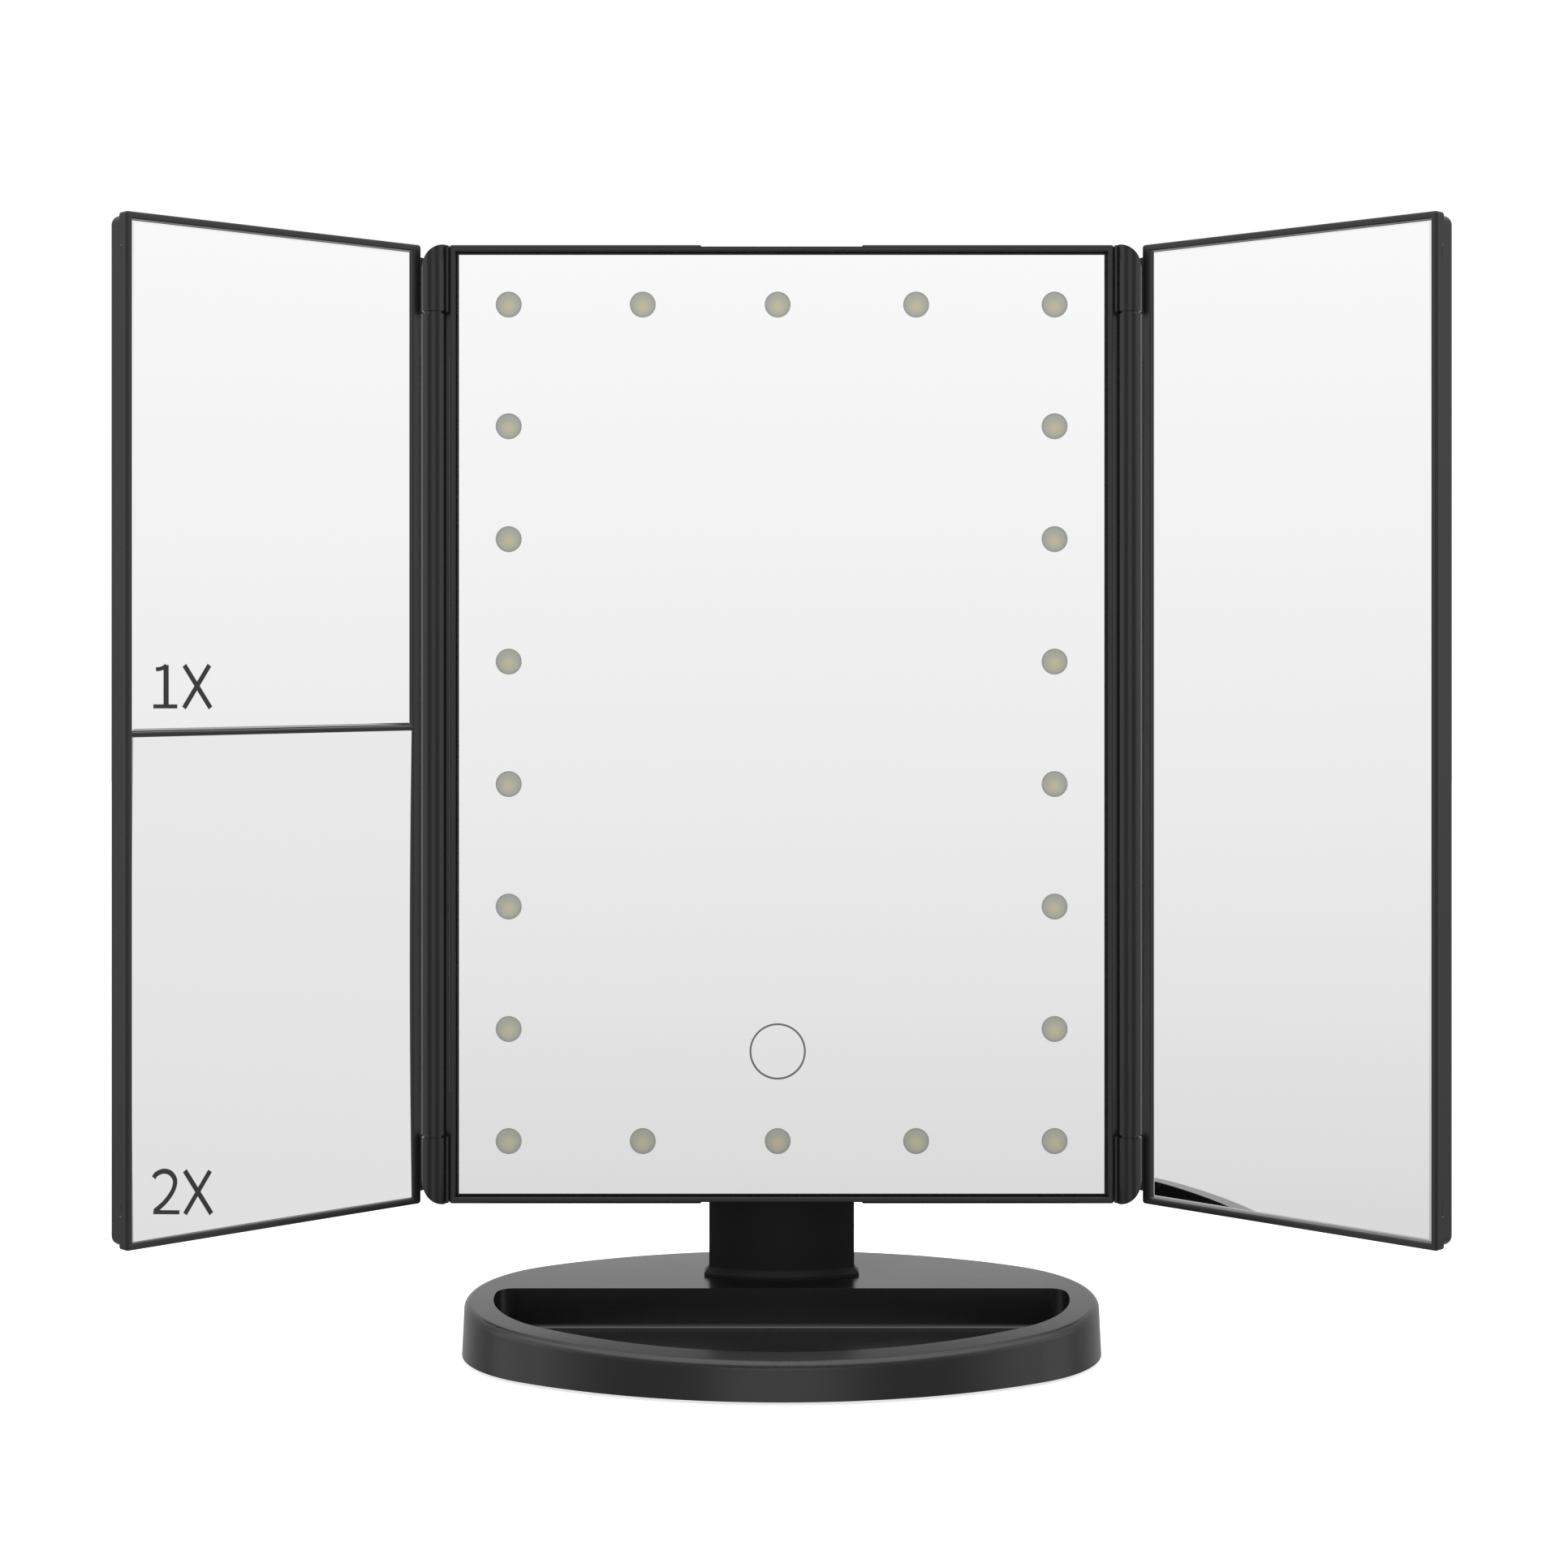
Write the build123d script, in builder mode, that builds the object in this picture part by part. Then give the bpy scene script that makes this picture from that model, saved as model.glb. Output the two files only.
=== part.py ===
"""Trifold vanity mirror on an oval tray base, in millimetres.

X runs to the right of a person who faces the mirror, Y away from that person and Z up.
The origin is the centre of the oval base on the table top.
"""

import os
from math import atan, cos, degrees, hypot, radians, sin, sqrt, tan

from build123d import *

os.makedirs("parts", exist_ok=True)

# ---------------------------------------------------------------- driving dimensions

# oval base
BASE_HALF_LENGTH = 78.7      # half of the oval along X, at the table
BASE_HALF_WIDTH = 49.3       # half of the oval along Y, at the table
BASE_END_RADIUS = 37.0       # the oval is four tangent arcs, these at its left and right ends
BASE_BACK_HEIGHT = 15.6      # top of the base at its back edge
BASE_CROWN_RADIUS = 820.0    # the top falls to the front along this arc
BASE_TALL = 17.6             # height of the raw oval before its crown is cut
BASE_DRAFT = 0.8             # the wall leans in by this much over that height
BASE_WALL = 2.0
BASE_EDGE_ROUND = 1.8
RIM_LIFT = 0.8               # the moulding's lower rim above the table
PLATE_T = 1.6                # base bottom plate
PLATE_GAP = 0.3

# cosmetics tray in the base
TRAY_RIM = 7.7               # rim between the tray and the base's outer wall
TRAY_BACK_Y = 7.3            # straight back wall of the tray
TRAY_FLOOR = 4.5             # tray floor above the table
TRAY_CORNER = 4.0
TRAY_WALL = 1.8
TRAY_FLOOR_ROUND = 1.2

# feet and base screws
FOOT_R = 5.0
FOOT_RECESS = 0.5
FOOT_CHAMFER = 0.3
FOOT_X = 42.0
FOOT_Y = 31.0
BASE_SCREW_R = 1.3
SCREW_HEAD_R = 2.5
SCREW_HEAD_T = 0.8
SCREW_LENGTH = 7.0
BOSS_R = 3.2
BOSS_SIDE_INSET = 17.7       # side bosses from the ends of the base, and their Y
BOSS_SIDE_Y = 14.0
BOSS_REAR_INSET = 11.3       # rear bosses from the back of the base, and their half spacing
BOSS_REAR_X = 24.0
SCREW_FIT = 0.05             # radial room of a screw or pin in its hole
RECESS_HALF_T = 0.25         # cross recess in a screw head
RECESS_REACH = 1.5
RECESS_DEPTH = 0.45

# neck
NECK_HALF_W = 18.4
NECK_DEPTH = 13.0
NECK_SAG = 4.8               # how far the front and back faces bulge
COLLAR_FLARE = 1.2           # the collar stands out from the neck by this much
COLLAR_EDGE = 0.5            # upright edge under the collar's slope
COLLAR_H = 2.0
TONGUE_HALF_W = 14.0
TONGUE_DEPTH = 8.0
TONGUE_LENGTH = 9.0
SOCKET_CLEAR = 0.15
SOCKET_WALL = 1.8
COVER_HALF_W = 14.5
COVER_H = 20.0
COVER_SEAT = 2.4             # the cover's seat lies this far behind the pivot line
COVER_RISE = 1.5             # from the collar up to the cover
COVER_CORNER = 1.5
COVER_GAP = 0.1
NECK_CAVITY_HALF_W = 12.0
NECK_CAVITY_H = 8.0
NECK_CAVITY_DEPTH = 5.0
NECK_SCREW_SPREAD = 6.5
NECK_SCREW_LENGTH = 7.0
HEAD_SINK = 0.3              # screw heads lie this far below the surface round them
STAND_SCREW_X = 8.0

# tilt pivot
PIVOT_Y = 22.0
PIVOT_Z = 46.0
SHAFT_R = 2.0
SHAFT_CLEAR = 0.05
EAR_T = 6.4
EAR_ROOT_HALF_H = 9.5
WASHER_T = 0.5
WASHER_R = 5.0
SIDE_PLAY = 0.05             # between washer and ear
SHAFT_HEAD_R = 3.6
SHAFT_HEAD_T = 1.6
SHAFT_SLOT_W = 0.8
SHAFT_SLOT_DEPTH = 0.7
NUT_HALF_FLATS = 3.5
NUT_T = 2.6
HEAD_CLEAR = 0.3
POCKET_WALL = 1.4
SWING_GAP = 0.5              # free gap round the neck's knuckle
FORWARD_TILT = 10.0          # degrees of forward tilt that the neck pocket leaves room for

# centre panel
PANEL_W = 166.2
PANEL_H = 239.5
PANEL_BOTTOM = 35.4
PANEL_FRONT = 8.0            # the frame's front plane lies this far behind the base centre
PANEL_DEPTH = 10.0
FRAME_RIM = 1.7              # plastic rim seen round every glass
GLASS_GAP = 0.3              # gap between rim and glass
GLASS_SETBACK = 0.6          # glass face behind the rim's front
GLASS_T = 2.0
GLASS_BEVEL = 0.5
LEDGE_W = 3.5
LEDGE_T = 1.2
STEP_IN = 0.35               # rear shells are this much smaller than the frames, all round
RIM_ROUND = 0.7
RIM_INNER_ROUND = 0.4
FRAME_CORNER = 0.8
HOUSING_WALL = 1.6
HOUSING_CORNER = 2.8
HOUSING_ROUND = 2.4
NOTCH_W = 40.5               # shallow dip at the middle of the top and bottom edges
NOTCH_DEPTH = 0.45
NOTCH_ROUND = 0.4

# lights and touch key
LED_INSET = 14.9             # outer windows from the panel's sides and top
LED_BOTTOM_INSET = 15.6
LED_COLUMN_STEPS = (33.5, 33.7, 34.6, 34.6)  # relative steps, left to right
LED_ROW_STEPS = (28.0, 30.6, 30.6, 30.6, 30.6, 28.2, 30.4)  # relative steps, upwards
LED_WINDOW_R = 3.25
ETCH_DEPTH = 0.15
CHIP_W = 3.5
CHIP_H = 2.8
CHIP_T = 0.8
BOARD_W = 10.0
BOARD_T = 1.0
LED_RIB_T = 2.0              # rib behind the light board
TOUCH_RISE = 38.0            # touch key above the panel's bottom
TOUCH_R = 6.8
TOUCH_LINE = 0.5
ELECTRODE_T = 0.3
TOUCH_POST_R = 3.0           # soft contact between electrode and control board
TOUCH_POST_BORE_R = 2.0
PAD_T = 1.0                  # foam sheet behind the centre glass
PAD_HOLE = 8.0               # square holes in it, behind the windows
PAD_TOUCH_HOLE = 15.2

# battery box
CELL_R = 5.25
CELL_LENGTH = 43.6
CELL_NUB_R = 1.9
CELL_NUB_H = 0.9
CELL_COUNT = 4
CELL_PITCH = 11.0
CELL_CLEAR = 0.3
CONTACT_PLATE_T = 0.4
CONTACT_BUMP_H = 1.8
CONTACT_BUMP_R = 3.0
CONTACT_TAPER = 38.0
BATTERY_BOTTOM = 104.0
BATTERY_WALL = 2.6
BATTERY_FLOOR_T = 1.4
DOOR_T = 1.6
DOOR_SLOPE = 1.0             # the door's edges lean in by this much, so the box holds it
DOOR_GAP = 0.3
DOOR_LAP = 1.3               # the door rests on the box wall by this much, each side
GRIP_W = 22.0
GRIP_T = 0.7
GRIP_H = 1.2
GRIP_COUNT = 4
GRIP_PITCH = 2.6
GRIP_FROM_TOP = 6.0

# control board, power switch and power inlet
CONTROL_LEFT = -18.0
CONTROL_RIGHT = 54.0
CONTROL_H = 34.0
CONTROL_GAP = 7.0            # between the control board and the battery box
CONTROL_T = 1.0
CONTROL_SETBACK = 4.9
STANDOFF_R = 2.2
STANDOFF_INSET = 4.0
BOARD_SCREW_R = 0.9
BOARD_SCREW_HEAD_R = 1.7
BOARD_SCREW_HEAD_T = 0.6
BOARD_SCREW_LENGTH = 3.0
SWITCH_X = 45.0
SWITCH_W = 12.0
SWITCH_WALL = 0.8
SWITCH_TRAVEL = 3.0
KNOB_W = 3.4
KNOB_H = 2.8
KNOB_PROUD = 1.4
KNOB_ROUND = 0.4
SLIDER_FOOT_W = 5.0
SLIDER_FOOT_H = 4.4
SLIDER_FOOT_T = 0.8
INLET_X = 28.0
INLET_W = 7.6
INLET_H = 2.9
INLET_WALL = 0.35
INLET_SINK = 0.2             # inlet mouth in front of the housing's back
INLET_TONGUE_W = 4.4
INLET_TONGUE_T = 0.6
WINDOW_GAP = 0.3

# wing hinges
HINGE_OUT = 3.8              # hinge line outside the centre frame
HINGE_BEHIND_FRONT = 1.0     # the hinge line behind the centre frame's front plane
BARREL_R = 3.05
CAP_H = 16.6
CAP_GAP = 0.7
SHOULDER_STEP = 0.5          # a cap's shoulder is this much smaller than its barrel
SHOULDER_PLAY = 0.1
CAP_ROUND = 6.4
CAP_ARM_GAP = 0.2
CAP_ARM_DEPTH = 6.0          # the arm's back, behind the centre frame's front plane
GUARD_CLEAR = 0.3            # between a barrel and the guard behind it
GUARD_END = 0.4              # the guard ends this far short of the hinge line
HINGE_PIN_R = 1.1
PIN_DEPTH = 10.0             # how far each pin reaches into the barrel, and into its cap
PIN_END_GAP = 0.3
OPEN_ANGLE = 43.5            # each wing stands this many degrees forward of flat, at rest

# wings
WING_INNER = 2.5             # from the hinge line to the wing's inner edge
WING_HINGE_RIM = 2.7         # rim between that edge and the glass opening
WING_OUTER = 86.3            # from the hinge line to the wing's outer edge
WING_T = 8.4
WING_FRAME_DEPTH = 3.0
WING_SETBACK = 1.74          # wing face behind the hinge line when laid flat
WING_GLASS_T = 1.6
WING_WALL = 1.4
WING_CORNER = 2.2
WING_ROUND = 1.8
DIVIDER_W = 0.9
DIVIDER_DROP = 0.8           # its middle below the wing's middle
MAGNIFIER_RADIUS = 2200.0    # radius of curvature of the magnifying pane
MAGNIFIER_T = 1.2
WEB_GAP = 0.2
WEB_ROOT_DEPTH = 2.3         # height of the web's root on the shell's side wall
LIP_CLEAR = 0.4              # between the caps and the lip beside them
LIP_T = 0.6
LIP_ANGLE = radians(82)      # of the lip's tip round the hinge, from the wing's width
LIP_INSET = 3.0              # the lip stops this far from the wing's ends
RIB_T = 1.2
RIB_HEIGHT = 2.2
RIB_COLUMNS = 2
RIB_ROWS = 5
SNAP_SLOT_L = 3.4
SNAP_SLOT_W = 0.9
SNAP_SLOT_DEPTH = 0.8
SNAP_SLOT_INSET = 9.4

# ---------------------------------------------------------------- derived places

BASE_END_X = BASE_HALF_LENGTH - BASE_END_RADIUS
BASE_SIDE_RADIUS = (BASE_END_X**2 + BASE_HALF_WIDTH**2 - BASE_END_RADIUS**2) / (
    2 * (BASE_HALF_WIDTH - BASE_END_RADIUS)
)
BASE_SIDE_Y = BASE_SIDE_RADIUS - BASE_HALF_WIDTH
BASE_DRAFT_ANGLE = degrees(atan(BASE_DRAFT / (BASE_TALL - RIM_LIFT)))
BASE_BOSSES = [
    (hand * (BASE_HALF_LENGTH - BOSS_SIDE_INSET), BOSS_SIDE_Y) for hand in (-1, 1)
] + [(hand * BOSS_REAR_X, BASE_HALF_WIDTH - BOSS_REAR_INSET) for hand in (-1, 1)]
PANEL_TOP = PANEL_BOTTOM + PANEL_H
HINGE_X = PANEL_W / 2 + HINGE_OUT
PANEL_MID = PANEL_BOTTOM + PANEL_H / 2
GLASS_BACK = GLASS_SETBACK + GLASS_T
FRAME_DEPTH = GLASS_BACK + LEDGE_T
BOARD_FRONT = GLASS_BACK + PAD_T
INNER_BACK = PANEL_DEPTH - HOUSING_WALL
OPENING_W = PANEL_W - 2 * FRAME_RIM
OPENING_H = PANEL_H - 2 * FRAME_RIM
GLASS_W = OPENING_W - 2 * GLASS_GAP
GLASS_H = OPENING_H - 2 * GLASS_GAP
HOUSING_W = PANEL_W - 2 * STEP_IN
HOUSING_H = PANEL_H - 2 * STEP_IN
HINGE_Y = PANEL_FRONT + HINGE_BEHIND_FRONT
BARREL_BOTTOM = PANEL_BOTTOM + CAP_H + CAP_GAP
BARREL_TOP = PANEL_TOP - CAP_H - CAP_GAP
KNUCKLE_R = NECK_DEPTH / 2
PIVOT_DEPTH = PIVOT_Y - PANEL_FRONT
EAR_START = NECK_HALF_W + WASHER_T + SIDE_PLAY
EAR_END = EAR_START + EAR_T
POCKET_TOP = PIVOT_Z + KNUCKLE_R + SWING_GAP
POCKET_DEPTH = PIVOT_DEPTH - KNUCKLE_R - SWING_GAP
POCKET_MOUTH_DEPTH = POCKET_DEPTH - (PIVOT_Z - PANEL_BOTTOM) * tan(radians(FORWARD_TILT))
COLLAR_BOTTOM = BASE_BACK_HEIGHT - (BASE_HALF_WIDTH - PIVOT_Y) ** 2 / (2 * BASE_CROWN_RADIUS)
COLLAR_EDGE_Z = COLLAR_BOTTOM + COLLAR_EDGE
COLLAR_TOP = COLLAR_BOTTOM + COLLAR_H
COVER_Z = COLLAR_TOP + COVER_RISE + COVER_H / 2
COVER_SEAT_Y = PIVOT_Y + COVER_SEAT
NECK_SCREW_Y = PIVOT_Y + KNUCKLE_R - HEAD_SINK - SCREW_HEAD_T
PLATE_TOP = RIM_LIFT + PLATE_T
HEAD_SEAT_X = EAR_END - SHAFT_HEAD_T - HEAD_CLEAR
NUT_SEAT_X = EAR_END - NUT_T - HEAD_CLEAR
LEDGE_OPENING_W = OPENING_W - 2 * LEDGE_W
LEDGE_OPENING_H = OPENING_H - 2 * LEDGE_W
CONTROL_BACK = CONTROL_SETBACK + CONTROL_T
CONTROL_W = CONTROL_RIGHT - CONTROL_LEFT
CONTROL_MID_X = (CONTROL_LEFT + CONTROL_RIGHT) / 2
CONTROL_MID_Z = BATTERY_BOTTOM - CONTROL_GAP - CONTROL_H / 2
TOUCH_Z = PANEL_BOTTOM + TOUCH_RISE
SWITCH_POCKET_W = SLIDER_FOOT_W + SWITCH_TRAVEL + 2 * WINDOW_GAP
SWITCH_POCKET_H = SLIDER_FOOT_H + 2 * WINDOW_GAP
BAY_HALF_W = CELL_COUNT * CELL_PITCH / 2 + CELL_CLEAR
BATTERY_HALF_W = BAY_HALF_W + BATTERY_WALL
BAY_FLOOR = BOARD_FRONT + BATTERY_FLOOR_T
CELL_Y = PANEL_FRONT + BAY_FLOOR + CELL_CLEAR + CELL_R
DOOR_FRONT = BAY_FLOOR + 2 * (CELL_CLEAR + CELL_R)
DOOR_BACK = DOOR_FRONT + DOOR_T
DOOR_HALF_W = BAY_HALF_W + DOOR_LAP
BAY_LENGTH = CELL_LENGTH + CELL_NUB_H + CONTACT_BUMP_H + 2 * CONTACT_PLATE_T
BAY_BOTTOM = BATTERY_BOTTOM + BATTERY_WALL
BAY_TOP = BAY_BOTTOM + BAY_LENGTH
BATTERY_TOP = BAY_TOP + BATTERY_WALL
CAP_ARM_SIDE = PANEL_W / 2 + CAP_ARM_GAP
CAP_ARM_ROOT = (HOUSING_W - HOUSING_WALL) / 2
GUARD_T = CAP_ARM_DEPTH - HINGE_BEHIND_FRONT - BARREL_R - GUARD_CLEAR
WING_W = WING_OUTER - WING_INNER
WING_MID = (WING_OUTER + WING_INNER) / 2
WING_OPENING_W = WING_W - FRAME_RIM - WING_HINGE_RIM
WING_OPENING_MID = WING_OUTER - FRAME_RIM - WING_OPENING_W / 2
WING_GLASS_W = WING_OPENING_W - 2 * GLASS_GAP
WING_GLASS_BACK = GLASS_SETBACK + WING_GLASS_T
WING_INSIDE_W = WING_W - 2 * (STEP_IN + WING_WALL)
WING_INSIDE_H = HOUSING_H - 2 * WING_WALL
WING_RIB_FRONT = WING_T - WING_WALL - RIB_HEIGHT
LIP_R = BARREL_R + LIP_CLEAR
LIP_X = WING_INNER - WEB_GAP
WEB_LEFT_X = BARREL_R * sin(radians(45))
WEB_LEFT_Y = BARREL_R * cos(radians(45))
WEB_ELBOW_Y = WEB_LEFT_Y + LIP_X - WEB_LEFT_X
WEB_ROOT_X = WING_INNER + STEP_IN + WING_WALL / 2
SNAP_SLOT_Z = (PANEL_BOTTOM + SNAP_SLOT_INSET, PANEL_TOP - SNAP_SLOT_INSET)
# the magnifying pane's back just meets its ledge at the middle of its long sides
MAGNIFIER_FRONT = (
    WING_GLASS_BACK
    + MAGNIFIER_RADIUS
    - sqrt((MAGNIFIER_RADIUS + MAGNIFIER_T) ** 2 - (WING_OPENING_W / 2 - LEDGE_W) ** 2)
)
BAR = 500.0                  # longer than the whole object, for cutting tools


def panel_plane(depth):
    """Plane parallel to the centre panel's face, `depth` behind it; local x, y are X, Z."""
    return Plane.XZ.offset(-(PANEL_FRONT + depth))


def side_plane(x):
    """Plane square to X; local x, y are Y, Z."""
    return Plane.YZ.offset(x)


def wing_axes(hand):
    """Directions of a wing's width and of its face; hand is -1 for the left, +1 for the right."""
    turn = radians(OPEN_ANGLE)
    along = Vector(cos(turn), -hand * sin(turn), 0)
    face = Vector(-hand * sin(turn), -cos(turn), 0)
    return along, face


def wing_plane(hand, depth):
    """Plane `depth` behind a wing's face; local x is the distance from the hinge, y is Z."""
    along, face = wing_axes(hand)
    origin = Vector(hand * HINGE_X, HINGE_Y, 0) - face * (WING_SETBACK + depth)
    return Plane(origin=origin, x_dir=along, z_dir=face)


def wing_plan(hand, height):
    """Horizontal plane at a height; local x is the distance from the hinge, y runs behind it."""
    along, _ = wing_axes(hand)
    return Plane(origin=(hand * HINGE_X, HINGE_Y, height), x_dir=along, z_dir=(0, 0, 1))


def stepped(start, end, steps):
    """Places from start to end whose gaps are in proportion to the steps."""
    share = (end - start) / sum(steps)
    return [start + share * sum(steps[:count]) for count in range(len(steps) + 1)]


LED_COLUMNS = stepped(LED_INSET - PANEL_W / 2, PANEL_W / 2 - LED_INSET, LED_COLUMN_STEPS)
LED_ROWS = stepped(PANEL_BOTTOM + LED_BOTTOM_INSET, PANEL_TOP - LED_INSET, LED_ROW_STEPS)
TOUCH_X = LED_COLUMNS[2]


def led_points():
    """Window centres, as X and Z: full rows at top and bottom, outer columns between."""
    points = [(x, z) for x in LED_COLUMNS for z in (LED_ROWS[0], LED_ROWS[-1])]
    points += [(x, z) for x in (LED_COLUMNS[0], LED_COLUMNS[-1]) for z in LED_ROWS[1:-1]]
    return points


FOOT_POINTS = [(x, y) for x in (-FOOT_X, FOOT_X) for y in (-FOOT_Y, FOOT_Y)]
STAND_SCREWS = [(-STAND_SCREW_X, PIVOT_Y), (STAND_SCREW_X, PIVOT_Y)]
NECK_SCREWS = [(0, COVER_Z - NECK_SCREW_SPREAD), (0, COVER_Z + NECK_SCREW_SPREAD)]
STANDOFFS = [
    (x, z)
    for x in (CONTROL_LEFT + STANDOFF_INSET, CONTROL_RIGHT - STANDOFF_INSET)
    for z in (
        CONTROL_MID_Z - CONTROL_H / 2 + STANDOFF_INSET,
        CONTROL_MID_Z + CONTROL_H / 2 - STANDOFF_INSET,
    )
]
LED_POINTS = led_points()
LED_MID_Z = (LED_ROWS[0] + LED_ROWS[-1]) / 2
LED_SPAN_X = LED_COLUMNS[-1] - LED_COLUMNS[0]
LED_SPAN_Z = LED_ROWS[-1] - LED_ROWS[0]

# ---------------------------------------------------------------- base


def base_outline(inset):
    """Oval of four tangent arcs, `inset` smaller all round than the base at the table."""
    # the arcs meet on the lines through the centres of an end arc and a side arc
    reach = (BASE_END_RADIUS - inset) / hypot(BASE_END_X, BASE_SIDE_Y)
    meet_x = BASE_END_X * (1 + reach)
    meet_y = BASE_SIDE_Y * reach
    half_l = BASE_HALF_LENGTH - inset
    half_w = BASE_HALF_WIDTH - inset
    with BuildSketch(Plane.XY) as outline:
        with BuildLine():
            ThreePointArc((-meet_x, -meet_y), (0, -half_w), (meet_x, -meet_y))
            ThreePointArc((meet_x, -meet_y), (half_l, 0), (meet_x, meet_y))
            ThreePointArc((meet_x, meet_y), (0, half_w), (-meet_x, meet_y))
            ThreePointArc((-meet_x, meet_y), (-half_l, 0), (-meet_x, -meet_y))
        make_face()
    return outline.sketch


def crowned_oval(inset):
    """The base's form, `inset` smaller: a drafted oval whose top is an arc, level at the back."""
    with BuildPart() as form:
        with BuildSketch(Plane.XY.offset(RIM_LIFT)):
            add(base_outline(inset))
        extrude(amount=BASE_TALL - RIM_LIFT, taper=BASE_DRAFT_ANGLE)
        with BuildSketch(Plane.YZ):
            with Locations((BASE_HALF_WIDTH, BASE_BACK_HEIGHT - BASE_CROWN_RADIUS)):
                Circle(BASE_CROWN_RADIUS - inset)
            with Locations((0, BASE_BACK_HEIGHT / 2)):
                Rectangle(3 * BASE_HALF_WIDTH, 2 * BASE_BACK_HEIGHT, mode=Mode.INTERSECT)
        extrude(amount=BAR / 2, both=True, mode=Mode.INTERSECT)
    return form.part


with BuildPart() as base_form:
    add(crowned_oval(0))
    fillet(base_form.faces().sort_by(Axis.Z)[-1].edges(), BASE_EDGE_ROUND)


def tray_outline(grow):
    """D-shaped outline of the tray, `grow` larger all round."""
    with BuildSketch(Plane.XY) as outline:
        add(base_outline(TRAY_RIM - grow))
        with Locations((0, TRAY_BACK_Y + grow)):
            Rectangle(BAR, BAR, align=(Align.CENTER, Align.MAX), mode=Mode.INTERSECT)
        fillet(outline.vertices().group_by(Axis.Y)[-1], TRAY_CORNER + grow)
    return outline.sketch


with BuildPart() as tray_tub:
    add(base_form.part)
    with BuildSketch(Plane.XY.offset(PLATE_TOP)):
        add(tray_outline(TRAY_WALL))
    extrude(amount=BAR, mode=Mode.INTERSECT)

with BuildPart() as neck_socket:
    add(base_form.part)
    with BuildSketch(Plane.XY.offset(PLATE_TOP)):
        with Locations((0, PIVOT_Y)):
            Rectangle(
                2 * (TONGUE_HALF_W + SOCKET_CLEAR + SOCKET_WALL),
                TONGUE_DEPTH + 2 * (SOCKET_CLEAR + SOCKET_WALL),
            )
        with Locations(*BASE_BOSSES):
            Circle(BOSS_R)
    extrude(amount=BAR, mode=Mode.INTERSECT)

with BuildPart() as base_shell:
    add(base_form.part)
    add(crowned_oval(BASE_WALL), mode=Mode.SUBTRACT)
    add(tray_tub.part)
    add(neck_socket.part)
    with BuildSketch(Plane.XY.offset(TRAY_FLOOR)):
        add(tray_outline(0))
    extrude(amount=BAR, mode=Mode.SUBTRACT)
    fillet(base_shell.edges().filter_by_position(Axis.Z, TRAY_FLOOR, TRAY_FLOOR), TRAY_FLOOR_ROUND)
    with BuildSketch(Plane.XY.offset(COLLAR_BOTTOM + COLLAR_H)):
        with Locations((0, PIVOT_Y)):
            Rectangle(2 * (TONGUE_HALF_W + SOCKET_CLEAR), TONGUE_DEPTH + 2 * SOCKET_CLEAR)
    extrude(amount=-(COLLAR_H + TONGUE_LENGTH + SOCKET_CLEAR), mode=Mode.SUBTRACT)
    with BuildSketch(Plane.XY.offset(PLATE_TOP)):
        with Locations(*BASE_BOSSES, *STAND_SCREWS):
            Circle(BASE_SCREW_R + SCREW_FIT)
    extrude(amount=SCREW_LENGTH, mode=Mode.SUBTRACT)
    with BuildSketch(Plane.XY.offset(PLATE_TOP)):
        with Locations(*STAND_SCREWS):
            Circle(SCREW_HEAD_R + HEAD_CLEAR)
    extrude(amount=SCREW_HEAD_T, mode=Mode.SUBTRACT)
base_shell.part.label = "base_shell"
export_step(base_shell.part, "parts/base_shell.step")

with BuildPart() as base_plate:
    with BuildSketch(Plane.XY.offset(RIM_LIFT)):
        add(base_outline(BASE_WALL + PLATE_GAP))
    extrude(amount=PLATE_T)
    with BuildSketch(Plane.XY.offset(RIM_LIFT)):
        with Locations(*FOOT_POINTS):
            Circle(FOOT_R)
    extrude(amount=FOOT_RECESS, mode=Mode.SUBTRACT)
    with BuildSketch(Plane.XY.offset(RIM_LIFT)):
        with Locations(*BASE_BOSSES):
            Circle(SCREW_HEAD_R + HEAD_CLEAR)
    extrude(amount=SCREW_HEAD_T, mode=Mode.SUBTRACT)
    with BuildSketch(Plane.XY.offset(RIM_LIFT)):
        with Locations(*BASE_BOSSES):
            Circle(BASE_SCREW_R + SCREW_FIT)
    extrude(amount=PLATE_T, mode=Mode.SUBTRACT)
base_plate.part.label = "base_bottom_plate"
export_step(base_plate.part, "parts/base_bottom_plate.step")


def draw_cross_recess():
    """Two crossed slots, drawn into the open sketch."""
    Rectangle(2 * RECESS_REACH, 2 * RECESS_HALF_T)
    Rectangle(2 * RECESS_HALF_T, 2 * RECESS_REACH)


for node_name, points, head_z in (
    ("base_screws", BASE_BOSSES, RIM_LIFT),
    ("stand_screws", STAND_SCREWS, PLATE_TOP),
):
    with BuildPart() as screws:
        with BuildSketch(Plane.XY.offset(head_z)):
            with Locations(*points):
                Circle(SCREW_HEAD_R)
        extrude(amount=SCREW_HEAD_T)
        with BuildSketch(Plane.XY.offset(head_z + SCREW_HEAD_T)):
            with Locations(*points):
                Circle(BASE_SCREW_R)
        extrude(amount=SCREW_LENGTH - SCREW_HEAD_T)
        with BuildSketch(Plane.XY.offset(head_z)):
            with Locations(*points):
                draw_cross_recess()
        extrude(amount=RECESS_DEPTH, mode=Mode.SUBTRACT)
    screws.part.label = node_name
    export_step(screws.part, f"parts/{node_name}.step")

with BuildPart() as feet:
    with BuildSketch(Plane.XY):
        with Locations(*FOOT_POINTS):
            Circle(FOOT_R)
    extrude(amount=RIM_LIFT + FOOT_RECESS)
    chamfer(feet.faces().group_by(Axis.Z)[0].edges(), FOOT_CHAMFER)
feet.part.label = "rubber_feet"
export_step(feet.part, "parts/rubber_feet.step")


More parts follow.
